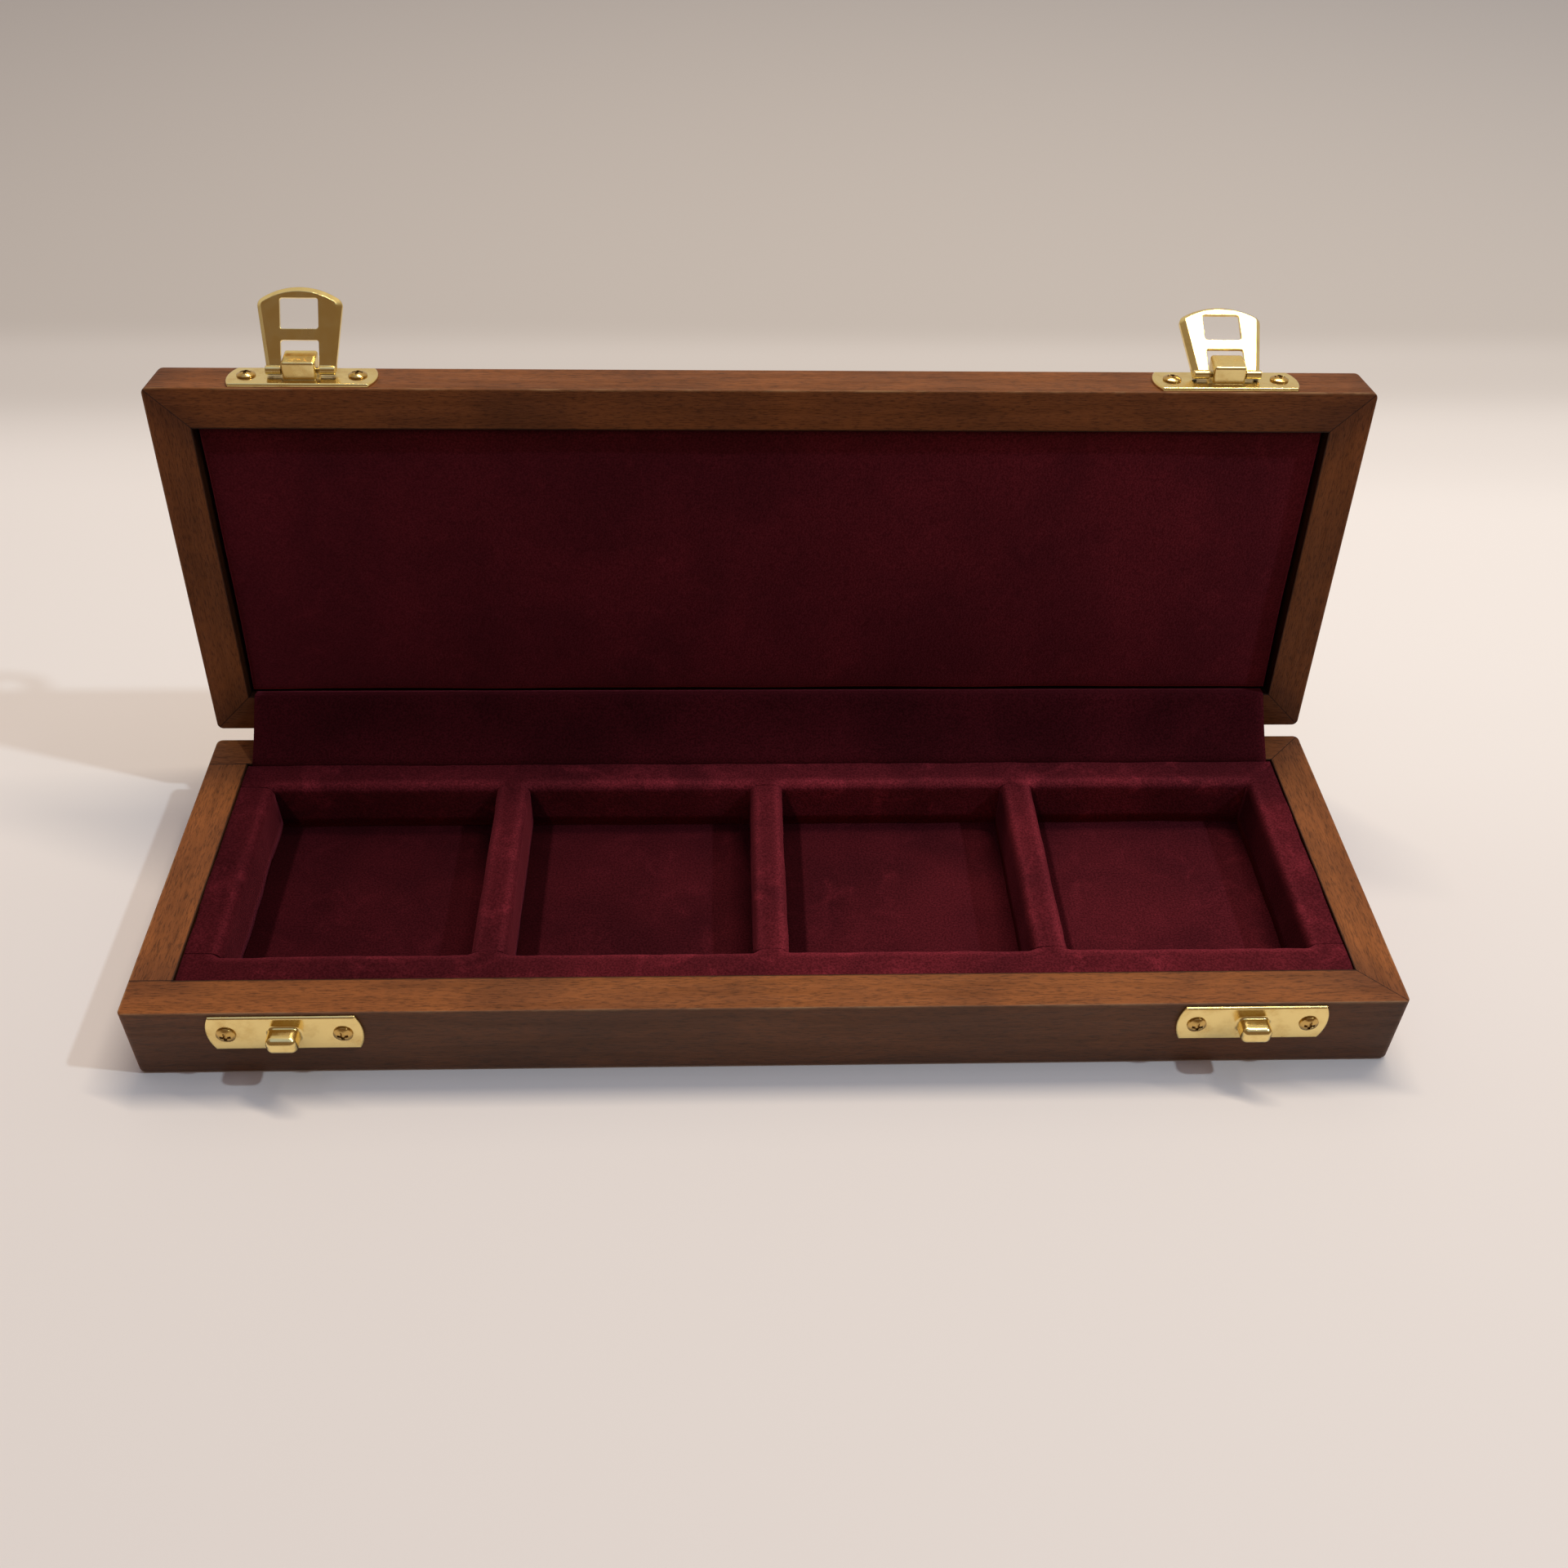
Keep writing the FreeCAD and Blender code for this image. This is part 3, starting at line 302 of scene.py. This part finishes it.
def stained_wood(name, grain, box, rail_width, lid, panel):
    """Walnut stain on close-grained wood, with the grain along one axis of the base's or the lid's box.
    The lid, the base's front and back and the rails' inner faces also carry painted shade. A panel has
    none of the marks of the rails' joints and edges."""
    finish = Finish(name)
    place = finish.turned(SHUT) if lid else finish.place

    def along(length, across):
        """Coordinates for a figure that is length long and across wide."""
        scales = [1 / across] * 3
        scales[grain] = 1 / length
        return finish.stretched(place, scales)

    pores = finish.noise(along(*PORES), detail=3, roughness=0.7)
    streaks = finish.noise(along(*STREAKS), detail=3, roughness=0.55, distortion=0.3)
    blotches = finish.noise(along(*BLOTCHES), detail=3, roughness=0.55, distortion=0.5)
    clouds = finish.noise(place, detail=1, size=WOOD_CLOUDS)

    warmth = finish.maths(
        "ADD", finish.spread(blotches, *BLOTCH_WARMTH), finish.spread(clouds, *CLOUD_WARMTH)
    )
    if not panel:
        side, front, arris, joint = rail_marks(finish, place, box, rail_width, all_mitred=lid)
        warmth = finish.maths("MULTIPLY", warmth, finish.spread(joint, *JOINT_WARMTH))
    colour = finish.mix(warmth, DARK_STAIN, WARM_STAIN)
    colour = finish.shaded(colour, finish.spread(streaks, *STREAK_SHADE))
    colour = finish.shaded(colour, finish.spread(pores, *PORE_SHADE))

    if not panel:
        # Lighter, patchy arrises: partly rubbed wear, partly a painted highlight along the edges
        rubs_and_glints = finish.noise(along(*RUBS_AND_GLINTS), detail=4, roughness=0.7)
        wear_and_glint = finish.maths(
            "MULTIPLY", finish.spread(arris, *ARRIS_WEAR_AND_GLINT), finish.spread(rubs_and_glints, *RUB_WEAR_AND_GLINT)
        )
        colour = finish.mix(wear_and_glint, colour, WORN_AND_GLINTING_EDGE)
        colour = finish.mix(finish.spread(joint, *JOINT_LINE), colour, JOINT_GLUE)
        # The rails' inner faces are darkened: painted shade in the gaps beside the lining
        start, end = (rail_width - depth for depth in INNER_FADE)
        colour = finish.shaded(colour, finish.spread(side, start, end, 1.0, INNER_PAINTED_SHADE))
    if lid:
        # Painted shade on the upright lid
        colour = finish.shaded(colour, LID_PAINTED_SHADE)
    elif not panel:
        # The base's front and back faces darkened: painted shade
        colour = finish.shaded(colour, finish.spread(front, *FRONT_PAINTED_SHADE))
        # Paled towards grey: a painted reflection
        colour = finish.mix(finish.spread(front, *FRONT_PAINTED_REFLECTION_SHARE), colour, FRONT_PAINTED_REFLECTION)

    finish.set(
        Base_Color=colour,
        Roughness=finish.spread(streaks, *WOOD_ROUGHNESS),
        Specular_IOR_Level=0.14,
    )
    relief = finish.maths("ADD", pores, finish.maths("MULTIPLY", streaks, STREAK_RELIEF))
    finish.bump(relief, depth=WOOD_RELIEF, strength=0.5, eased=WOOD_EASE)
    return finish.material


DEEP_PILE = (0.050, 0.0064, 0.0092)
FULL_PILE = (0.080, 0.0090, 0.0128)
BRUSHED_PILE = (0.130, 0.0140, 0.0205)
PILE_SHEEN = (0.66, 0.090, 0.130, 1.0)

# Sizes of the lumps in the pile, and their spreads
PILE_CLOUDS = 26 * MM
PILE_DRIFTS = 9 * MM
PILE_TUFTS = 0.45 * MM
CLOUD_SPREAD = (0.3, 0.7)
DRIFT_SPREAD = (0.5, 0.8)
TUFT_SHADE = (0.3, 0.7, 0.62, 1.35)
TUFT_RELIEF = 0.25 * MM

# The ends of the box, between which the pile is painted lighter to the right, a painted sheen
LEFT_END = -140 * MM
RIGHT_END = 140 * MM

# Painted shadows at the left of each well: how much darker they are, how wide for their depth, and their soft
# edges
WELL_SHADOW_LOSS = 0.62
WELL_SHADOW_REACH = 0.36
WELL_SHADOW_SIDES = (-0.8 * MM, 0.2 * MM)
WELL_SHADOW_TOP = (1.0 * MM, 2.5 * MM)

# The vertex attribute that holds the painted highlights, sheen and shade on the pile
PAINTED_LIGHT_ATTRIBUTE = "painted_light"


def painted_well_shadows(finish):
    """1 in the painted shadow at the left of each well, which grows wider with the depth."""
    sides = finish.axes(finish.place)
    depth = finish.maths("SUBTRACT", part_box("back_velvet_strip")[1].z, sides[2])
    half = finish.maths("MULTIPLY", depth, WELL_SHADOW_REACH / 2)
    shadow = 0.0
    for left, *_ in well_spans():
        middle = finish.maths("ADD", half, left)
        offset = finish.maths("ABSOLUTE", finish.maths("SUBTRACT", sides[0], middle))
        inside = finish.maths("SUBTRACT", half, offset)
        shadow = finish.maths("ADD", shadow, finish.spread(inside, *WELL_SHADOW_SIDES))
    return finish.maths("MULTIPLY", shadow, finish.spread(depth, *WELL_SHADOW_TOP))


def velvet(name, nap, tone, glow, full_at=RIGHT_END, in_wells=False):
    """Short dark red pile. nap is how much of it is brushed up, tone how light it is painted at the left
    end and from full_at on, a painted sheen, and glow how much its tips catch the light. Pile in the
    wells also has painted shadows at the left of each well and painted light held on its vertices."""
    finish = Finish(name)
    place = finish.place
    clouds = finish.noise(place, detail=3, size=PILE_CLOUDS, distortion=0.4)
    drifts = finish.noise(place, detail=3, size=PILE_DRIFTS, roughness=0.6, distortion=0.8)
    tufts = finish.noise(place, detail=2, size=PILE_TUFTS, roughness=0.6)
    colour = finish.mix(finish.spread(clouds, *CLOUD_SPREAD), DEEP_PILE, FULL_PILE)
    colour = finish.mix(finish.spread(drifts, *DRIFT_SPREAD, 0.0, nap), colour, BRUSHED_PILE)
    colour = finish.shaded(colour, finish.spread(tufts, *TUFT_SHADE))
    # Lighter towards the right: painted sheen
    lightness = finish.spread(finish.axes(place)[0], LEFT_END, full_at, *tone)
    colour = finish.shaded(colour, lightness)
    if in_wells:
        # Painted shadows at the left of each well
        unshadowed = finish.maths("MULTIPLY_ADD", painted_well_shadows(finish), -WELL_SHADOW_LOSS, 1.0)
        colour = finish.shaded(colour, unshadowed)
        # Colour scaled by the painted light held on the vertices
        painted_light = finish.nodes.new("ShaderNodeAttribute")
        painted_light.attribute_name = PAINTED_LIGHT_ATTRIBUTE
        colour = finish.shaded(colour, painted_light.outputs["Fac"])
    finish.set(Base_Color=colour, Roughness=0.95, Specular_IOR_Level=0.0)
    finish.set(Sheen_Weight=glow, Sheen_Roughness=0.5, Sheen_Tint=PILE_SHEEN)
    finish.bump(tufts, depth=TUFT_RELIEF, strength=0.6)
    return finish.material


BRIGHT_BRASS = (0.92, 0.72, 0.30)
WORN_BRASS = (0.68, 0.44, 0.13)
SCREW_BRASS = (0.62, 0.40, 0.13)
CREVICE_DARK = (0.10, 0.055, 0.015)

TARNISH_CLOUDS = 5 * MM
DRAWN_LINES = (9 * MM, 0.25 * MM, 0.25 * MM)
CREVICE_REACH = 0.9 * MM
TARNISH_SHARE = (0.45, 0.75, 0.0, 0.6)
CREVICE_DARK_SHARE = (0.25, 0.75, 0.85, 0.0)
BRASS_ROUGHNESS = (0.3, 0.7, 0.14, 0.28)
LINE_RELIEF = 0.03 * MM
BRASS_EASE = 0.25 * MM


def polished_brass(name, bright):
    """Bright brass with faint tarnish clouds, drawn lines and a darker colour in its crevices."""
    finish = Finish(name)
    clouds = finish.noise(finish.place, detail=3, size=TARNISH_CLOUDS, roughness=0.6)
    drawn = finish.stretched(finish.place, [1 / size for size in DRAWN_LINES])
    lines = finish.noise(drawn, detail=3)
    colour = finish.mix(finish.spread(clouds, *TARNISH_SHARE), bright, WORN_BRASS)
    # Darker where other surfaces lie close: in crevices and round the screw heads
    crevice_dark = finish.spread(finish.crevices(CREVICE_REACH), *CREVICE_DARK_SHARE)
    colour = finish.mix(crevice_dark, colour, CREVICE_DARK)
    roughness = finish.spread(clouds, *BRASS_ROUGHNESS)
    finish.set(Base_Color=colour, Metallic=1.0, Roughness=roughness)
    finish.bump(lines, depth=LINE_RELIEF, strength=0.3, eased=BRASS_EASE)
    return finish.material


def dress(material, *nodes):
    """Gives CAD nodes a material."""
    for node in nodes:
        for slot in frame["nodes"][node].material_slots:
            slot.material = material


# Velvet covered pieces

# Edges that turn by more than this, in radians, count as sharp
SHARP_TURN = 1


def place_piece(name, mesh, material):
    """Makes a bmesh an object of its own, smooth and with one material."""
    bmesh.ops.recalc_face_normals(mesh, faces=mesh.faces)
    for face in mesh.faces:
        face.smooth = True
    data = bpy.data.meshes.new(name)
    mesh.to_mesh(data)
    mesh.free()
    data.materials.append(material)
    piece = bpy.data.objects.new(name, data)
    bpy.context.scene.collection.objects.link(piece)
    return piece


def padded_block(low, high, cells, rim, side_cuts=3, rim_steps=3):
    """A closed block with a grid of cells on its top and that top's rim rounded."""
    mesh = bmesh.new()
    size = high - low
    foot = ((low.x + high.x) / 2, (low.y + high.y) / 2, low.z)
    bmesh.ops.create_grid(mesh, x_segments=cells[0], y_segments=cells[1], size=0.5)
    bmesh.ops.scale(mesh, vec=(size.x, size.y, 1), verts=mesh.verts)
    bmesh.ops.translate(mesh, vec=foot, verts=mesh.verts)
    raised = bmesh.ops.extrude_face_region(mesh, geom=mesh.faces[:])["geom"]
    raised = [part for part in raised if isinstance(part, bmesh.types.BMVert)]
    bmesh.ops.translate(mesh, vec=(0, 0, size.z), verts=raised)
    bmesh.ops.recalc_face_normals(mesh, faces=mesh.faces)
    uprights = [
        edge for edge in mesh.edges
        if abs(edge.verts[0].co.z - edge.verts[1].co.z) > size.z / 2
    ]
    bmesh.ops.subdivide_edges(mesh, edges=uprights, cuts=side_cuts, use_grid_fill=True)
    rim_level = high.z - rim / 10
    top_rim = [
        edge for edge in mesh.edges
        if abs(edge.calc_face_angle(0)) > SHARP_TURN
        and min(vertex.co.z for vertex in edge.verts) > rim_level
    ]
    bmesh.ops.bevel(
        mesh, geom=top_rim, offset=rim, segments=rim_steps, profile=0.5, affect="EDGES", material=-1
    )
    return mesh


def pucker(mesh, depth, length, seed):
    """Moves every vertex a little along its normal, in soft waves."""
    mesh.normal_update()
    moves = []
    for vertex in mesh.verts:
        wave = noise.noise(vertex.co / length + Vector((seed, seed, seed)))
        moves.append(vertex.normal * wave * depth)
    for vertex, move in zip(mesh.verts, moves):
        vertex.co += move


STRIP_RIM = 0.15 * MM
STRIP_STEP = 1.6 * MM
STRIP_CELLS_ACROSS = 18
STRIP_RISE = 0.6 * MM
STRIP_CROWN = 0.3 * MM
CROWN_REACH = 4 * MM
OPEN_SHOULDER = 2.0 * MM
WALL_SHOULDER = 0.25 * MM
# Depth, length and seed of each set of waves
STRIP_PUCKERS = ((0.22 * MM, 11 * MM, 0), (0.12 * MM, 4 * MM, 20))

# Painted light on the pile: a painted highlight on the crests, painted sheen on faces to the front and painted
# shade on faces to the left
CREST_INSET = 1.2 * MM
CREST_WIDTH = 1.0 * MM
CREST_PAINTED_HIGHLIGHT = 0.7
LEFT_FACE_PAINTED_SHADE = 0.8
FRONT_FACE_PAINTED_SHEEN = 0.8


def gap_to_well(point, wells):
    """How far a point of the lining lies from the nearest well, seen from above."""
    gaps = []
    for left, right, front, back in wells:
        aside = max(left - point.x, point.x - right, 0.0)
        ahead = max(front - point.y, point.y - back, 0.0)
        gaps.append(math.hypot(aside, ahead))
    return min(gaps)


def shoulder_drop(inset, radius):
    """How far a rounded shoulder lies below its top, this far in from its side."""
    short = min(radius, max(0.0, radius - inset))
    return radius - math.sqrt(radius * radius - short * short)


def velvet_bar(node, material):
    """A strip or divider: a core with velvet drawn over its top and down into the wells."""
    low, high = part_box(node)
    along = ALONG_X if high.x - low.x > high.y - low.y else ALONG_Y
    cells = [STRIP_CELLS_ACROSS, STRIP_CELLS_ACROSS]
    cells[along] = round((high[along] - low[along]) / STRIP_STEP)
    mesh = padded_block(low, high, cells, STRIP_RIM)
    wells = well_spans()
    lining = joined_box(*VELVET_BARS)
    for vertex in mesh.verts:
        if vertex.co.z < high.z - OPEN_SHOULDER:
            continue
        to_well = gap_to_well(vertex.co, wells)
        to_rail = min(
            min(vertex.co[axis] - lining[0][axis], lining[1][axis] - vertex.co[axis])
            for axis in range(2)
        )
        slope = max(0.0, 1 - to_well / CROWN_REACH)
        vertex.co.z += STRIP_RISE - STRIP_CROWN * slope * slope
        vertex.co.z -= shoulder_drop(to_well, OPEN_SHOULDER) + shoulder_drop(to_rail, WALL_SHOULDER)
    for depth, length, seed in STRIP_PUCKERS:
        pucker(mesh, depth, length, seed)
    mesh.normal_update()
    # Painted light per vertex: highlight on the crests, shade on faces to the left, sheen on faces to the front
    painted_light = mesh.verts.layers.float.new(PAINTED_LIGHT_ATTRIBUTE)
    for vertex in mesh.verts:
        from_crest = (gap_to_well(vertex.co, wells) - CREST_INSET) / CREST_WIDTH
        crest = math.exp(-from_crest * from_crest) * max(0.0, vertex.normal.z)
        vertex[painted_light] = 1 + CREST_PAINTED_HIGHLIGHT * crest - LEFT_FACE_PAINTED_SHADE * max(0.0, -vertex.normal.x)
        vertex[painted_light] += FRONT_FACE_PAINTED_SHEEN * max(0.0, -vertex.normal.y)
    piece = place_piece("cover_of_" + node, mesh, material)
    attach(piece, "base")
    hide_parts(node)


FLOOR_CELLS = (66, 18)
FLOOR_RIM = 0.4 * MM
FLOOR_WAVE = 0.12 * MM
FLOOR_WAVE_LENGTH = 14 * MM
FLOOR_SINK = 0.05 * MM


def well_floor(material):
    """The card floor under the wells, with its velvet slightly uneven."""
    low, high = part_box("compartment_floor")
    mesh = padded_block(low, high, FLOOR_CELLS, FLOOR_RIM, side_cuts=1, rim_steps=2)
    for vertex in mesh.verts:
        if vertex.co.z > (low.z + high.z) / 2:
            wave = FLOOR_WAVE * noise.noise(vertex.co / FLOOR_WAVE_LENGTH)
            vertex.co.z += wave - FLOOR_SINK
    painted_light = mesh.verts.layers.float.new(PAINTED_LIGHT_ATTRIBUTE)
    for vertex in mesh.verts:
        vertex[painted_light] = 1.0
    piece = place_piece("velvet_well_floor", mesh, material)
    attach(piece, "base")
    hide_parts("compartment_floor")


PAD_CELLS = (76, 22)
PAD_RIM = 1.2 * MM
PAD_CROWN = 0.6 * MM
PAD_DRAW = 0.2 * MM
PAD_SLACK_LENGTH = 24 * MM
# Depth, length and seed of its waves
PAD_PUCKER = (0.25 * MM, 26 * MM, 3)
# How steeply its crown and the draw of its edges fall off
BOW_POWER = 4
DRAW_POWER = 5


def bowed(share):
    """1 at the middle of a span, falling to 0 at its ends, where share is -1 and 1."""
    return 1 - share ** BOW_POWER


def lid_pad(material):
    """The crowned pad in the lid, made with its face up and then set in the open lid."""
    low, high = shut_box("lid_velvet_pad")
    face_up = Matrix.Translation((0, 0, low.z + high.z)) @ Matrix.Scale(-1, 4, (0, 0, 1))
    mesh = padded_block(low, high - Vector((0, 0, PAD_CROWN)), PAD_CELLS, PAD_RIM, rim_steps=4)
    reach = (high - low) / 2
    middle = (high + low) / 2
    for vertex in mesh.verts:
        share = [(vertex.co[axis] - middle[axis]) / reach[axis] for axis in range(2)]
        rise = (vertex.co.z - low.z) / (high.z - low.z)
        bow = bowed(share[0]) * bowed(share[1])
        vertex.co.z += PAD_CROWN * rise * bow
        for axis in range(2):
            slack = 1 + noise.noise(vertex.co / PAD_SLACK_LENGTH)
            pull = bowed(share[1 - axis]) * share[axis] ** DRAW_POWER
            vertex.co[axis] -= PAD_DRAW * rise * pull * slack
    pucker(mesh, *PAD_PUCKER)
    bmesh.ops.transform(mesh, matrix=OPEN @ face_up, verts=mesh.verts)
    piece = place_piece("cover_of_lid_pad", mesh, material)
    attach(piece, "lid")
    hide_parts("lid_velvet_pad")


FLAP_THICKNESS = 0.3 * MM
FLAP_CLEARANCE = 0.1 * MM
FLAP_TUCK = 1.0 * MM
FLAP_STEP = 2.5 * MM
FLAP_SPAN_CUTS = 9
FLAP_END_CUTS = 2
# Its slack, in waves along its width: their middle, swing, length, change over the span and seed
FLAP_SLACK = 0.5 * MM
FLAP_WAVE_MIDDLE = 0.6
FLAP_WAVE_SWING = 0.5
FLAP_WAVE_LENGTH = 35 * MM
FLAP_WAVE_CHANGE = 1.3
FLAP_WAVE_SEED = 7


def hinge_flap(material):
    """The velvet flap from the back strip, over the hinges, to the foot of the lid's pad."""
    low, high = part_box("hinge_cover_cloth")
    inner_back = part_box("base_back_rail")[0].y
    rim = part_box("base_back_rail")[1].z
    lid_rim = shut_box("lid_back_rail")[0].z
    pad_face = shut_box("lid_velvet_pad")[0].z
    cloth_y = inner_back - FLAP_CLEARANCE - FLAP_THICKNESS / 2
    foot = Vector((low.x, cloth_y, low.z))
    bend = Vector((low.x, cloth_y, rim + FLAP_CLEARANCE))
    lip = OPEN @ Vector((low.x, cloth_y, lid_rim - FLAP_CLEARANCE))
    tuck = OPEN @ Vector((low.x, cloth_y, pad_face + FLAP_TUCK))
    mesh = bmesh.new()
    rows = [mesh.verts.new(point) for point in (foot, bend, lip, tuck)]
    edges = [mesh.edges.new(pair) for pair in zip(rows, rows[1:])]
    bmesh.ops.subdivide_edges(mesh, edges=edges[1:2], cuts=FLAP_SPAN_CUTS)
    bmesh.ops.subdivide_edges(mesh, edges=[edges[0], edges[2]], cuts=FLAP_END_CUTS)
    strip = mesh.edges[:]
    steps = round((high.x - low.x) / FLAP_STEP)
    for _ in range(steps):
        grown = bmesh.ops.extrude_edge_only(mesh, edges=strip)["geom"]
        strip = [part for part in grown if isinstance(part, bmesh.types.BMEdge)]
        verts = [part for part in grown if isinstance(part, bmesh.types.BMVert)]
        bmesh.ops.translate(mesh, vec=((high.x - low.x) / steps, 0, 0), verts=verts)
    span = lip - bend
    outward = Vector((0, span.z, -span.y)).normalized()
    for vertex in mesh.verts:
        share = (vertex.co - bend).dot(span) / span.length_squared
        share = min(1.0, max(0.0, share))
        spot = Vector((vertex.co.x / FLAP_WAVE_LENGTH, share * FLAP_WAVE_CHANGE, FLAP_WAVE_SEED))
        wave = FLAP_WAVE_MIDDLE + FLAP_WAVE_SWING * noise.noise(spot)
        vertex.co += outward * FLAP_SLACK * wave * math.sin(math.pi * share)
    bmesh.ops.recalc_face_normals(mesh, faces=mesh.faces)
    everything = mesh.faces[:] + mesh.edges[:] + mesh.verts[:]
    bmesh.ops.solidify(mesh, geom=everything, thickness=FLAP_THICKNESS)
    piece = place_piece("velvet_hinge_flap", mesh, material)
    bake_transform(piece)
    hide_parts("hinge_cover_cloth")


# Stage, lights and camera

TABLE_REACH = 1.6
TABLE_NEAR = (0.77, 0.705, 0.67)
# A painted pool of the light from behind, a little lighter than the near table
TABLE_PAINTED_POOL = (0.80, 0.74, 0.705)
TABLE_FAR = (0.50, 0.45, 0.415)
# Where one shade fades into the next, in metres behind the box's middle
MIDDLE_FADE = (0.0, 0.2)
FAR_FADE = (0.24, 0.40)
# Broad bands that make the fades uneven
BAND_SCALES = (0.6, 14, 1)
BAND_REACH = 0.12


def table():
    """A pale table, a little lighter behind the box as a painted pool of light, that falls off to grey at the
    back.
    """
    mesh = bmesh.new()
    bmesh.ops.create_grid(mesh, x_segments=2, y_segments=2, size=TABLE_REACH)
    finish = Finish("pale_table")
    depth = finish.axes(finish.place)[1]
    bands = finish.noise(finish.stretched(finish.place, BAND_SCALES), detail=1)
    shade = finish.maths("ADD", depth, finish.maths("MULTIPLY", bands, BAND_REACH))
    colour = finish.mix(finish.spread(shade, *MIDDLE_FADE), TABLE_NEAR, TABLE_PAINTED_POOL)
    colour = finish.mix(finish.spread(shade, *FAR_FADE), colour, TABLE_FAR)
    finish.set(Base_Color=colour, Roughness=0.75, Specular_IOR_Level=0.2)
    piece = place_piece("pale_table", mesh, finish.material)


# Name, place, size, power in watts and colour of each light
LIGHTS = (
    ("key_from_right", (1.56, -0.27, 2.0), (0.08, 0.08), 18.5, (0.68, 0.86, 1.0)),
    ("strip_at_back", (0.16, 0.365, 1.05), (0.72, 0.03), 7.2, (1.0, 0.89, 0.72)),
    ("patch_overhead", (0.43, 0.07, 1.14), (0.24, 0.12), 0.6, (1.0, 0.97, 0.92)),
)


def softbox(name, place, size, power, colour):
    """A rectangular light that faces the middle of the box."""
    light = bpy.data.lights.new(name, "AREA")
    light.shape = "RECTANGLE"
    light.size, light.size_y = size
    light.energy = power
    light.color = colour
    lamp = bpy.data.objects.new(name, light)
    lamp.location = place
    lamp.rotation_euler = (-Vector(place)).to_track_quat("-Z", "Y").to_euler()
    bpy.context.scene.collection.objects.link(lamp)


CEILING = (0.46, 0.54, 0.76)
BACK_WALL = (0.60, 0.54, 0.46)
FRONT_WALL = (0.19, 0.125, 0.075)
# Where they fade into each other, as parts of a direction of length 1
BACK_FADE = (-0.1, 0.7)
CEILING_FADE = (0.78, 0.95)


def room_light():
    """Light from all round: a pale blue ceiling, a light wall behind and a brown one in front."""
    world = bpy.data.worlds.new("room")
    world.use_nodes = True
    room = Shading(world.node_tree)
    around = room.axes(room.nodes.new("ShaderNodeTexCoord").outputs["Generated"])
    walls = room.mix(room.spread(around["Y"], *BACK_FADE), FRONT_WALL, BACK_WALL)
    colour = room.mix(room.spread(around["Z"], *CEILING_FADE), walls, CEILING)
    room.feed(room.nodes["Background"].inputs["Color"], colour)
    bpy.context.scene.world = world


CAMERA_PLACE = Vector((-0.009787, -0.263286, 0.280286))
CAMERA_PITCH = math.radians(41.830)
CAMERA_YAW = math.radians(2.819)
CAMERA_ROLL = math.radians(1.600)
CAMERA_LENS = 35.75
CAMERA_SENSOR = 36.0
CAMERA_NEAR = 0.01


def camera():
    """The viewpoint of the photograph."""
    lens = bpy.data.cameras.new("camera")
    lens.sensor_width = CAMERA_SENSOR
    lens.lens = CAMERA_LENS
    lens.clip_start = CAMERA_NEAR
    ahead = Vector((
        math.sin(CAMERA_YAW) * math.cos(CAMERA_PITCH),
        math.cos(CAMERA_YAW) * math.cos(CAMERA_PITCH),
        -math.sin(CAMERA_PITCH),
    ))
    level = Vector((math.cos(CAMERA_YAW), -math.sin(CAMERA_YAW), 0))
    right = level * math.cos(CAMERA_ROLL) + level.cross(ahead) * math.sin(CAMERA_ROLL)
    up = right.cross(ahead)
    eye = bpy.data.objects.new("camera", lens)
    turn = Matrix((right, up, -ahead)).transposed().to_4x4()
    eye.matrix_world = Matrix.Translation(CAMERA_PLACE) @ turn
    bpy.context.scene.collection.objects.link(eye)
    bpy.context.scene.camera = eye


# The box

base_box = joined_box(*BASE_RAILS)
lid_box = shut_box(*LID_RAILS)
rail_width = base_box[1].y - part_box("base_back_rail")[0].y

for name, grain, lid, nodes in (
    ("stained_wood_base_long", ALONG_X, False, ["base_front_rail", "base_back_rail"]),
    ("stained_wood_base_short", ALONG_Y, False, ["base_left_rail", "base_right_rail"]),
    ("stained_wood_lid_long", ALONG_X, True, ["lid_front_rail", "lid_back_rail"]),
    ("stained_wood_lid_short", ALONG_Y, True, ["lid_left_rail", "lid_right_rail"]),
    ("panel_wood_base", ALONG_X, False, ["base_bottom_panel"]),
    ("panel_wood_lid", ALONG_X, True, ["lid_top_panel"]),
):
    box = lid_box if lid else base_box
    is_panel = nodes[0].endswith("panel")
    dress(stained_wood(name, grain, box, rail_width, lid, is_panel), *nodes)

plate_brass = polished_brass("polished_brass", BRIGHT_BRASS)
screw_brass = polished_brass("screw_brass", SCREW_BRASS)
for part in frame["record"]["subparts"]:
    if part["material_slot"] == "brass":
        dress(screw_brass if part["node"].endswith("screws") else plate_brass, part["node"])

# One velvet in four copies of different tone: the darker tones of the wells and the flap are painted shade
strip_velvet = velvet(
    "velvet_strips", nap=0.9, tone=(0.58, 1.22), glow=0.3, full_at=40 * MM, in_wells=True
)
for bar in VELVET_BARS:
    velvet_bar(bar, strip_velvet)
well_floor(velvet("velvet_wells", nap=0.5, tone=(0.45, 1.05), glow=0.25, in_wells=True))
lid_pad(velvet("velvet_lid_pad", nap=0.3, tone=(0.8, 1.1), glow=1.0))
hinge_flap(velvet("velvet_flap", nap=0.2, tone=(0.5, 0.8), glow=0.4))

table()
for light in LIGHTS:
    softbox(*light)
room_light()
camera()
bpy.context.scene.view_settings.view_transform = "Standard"
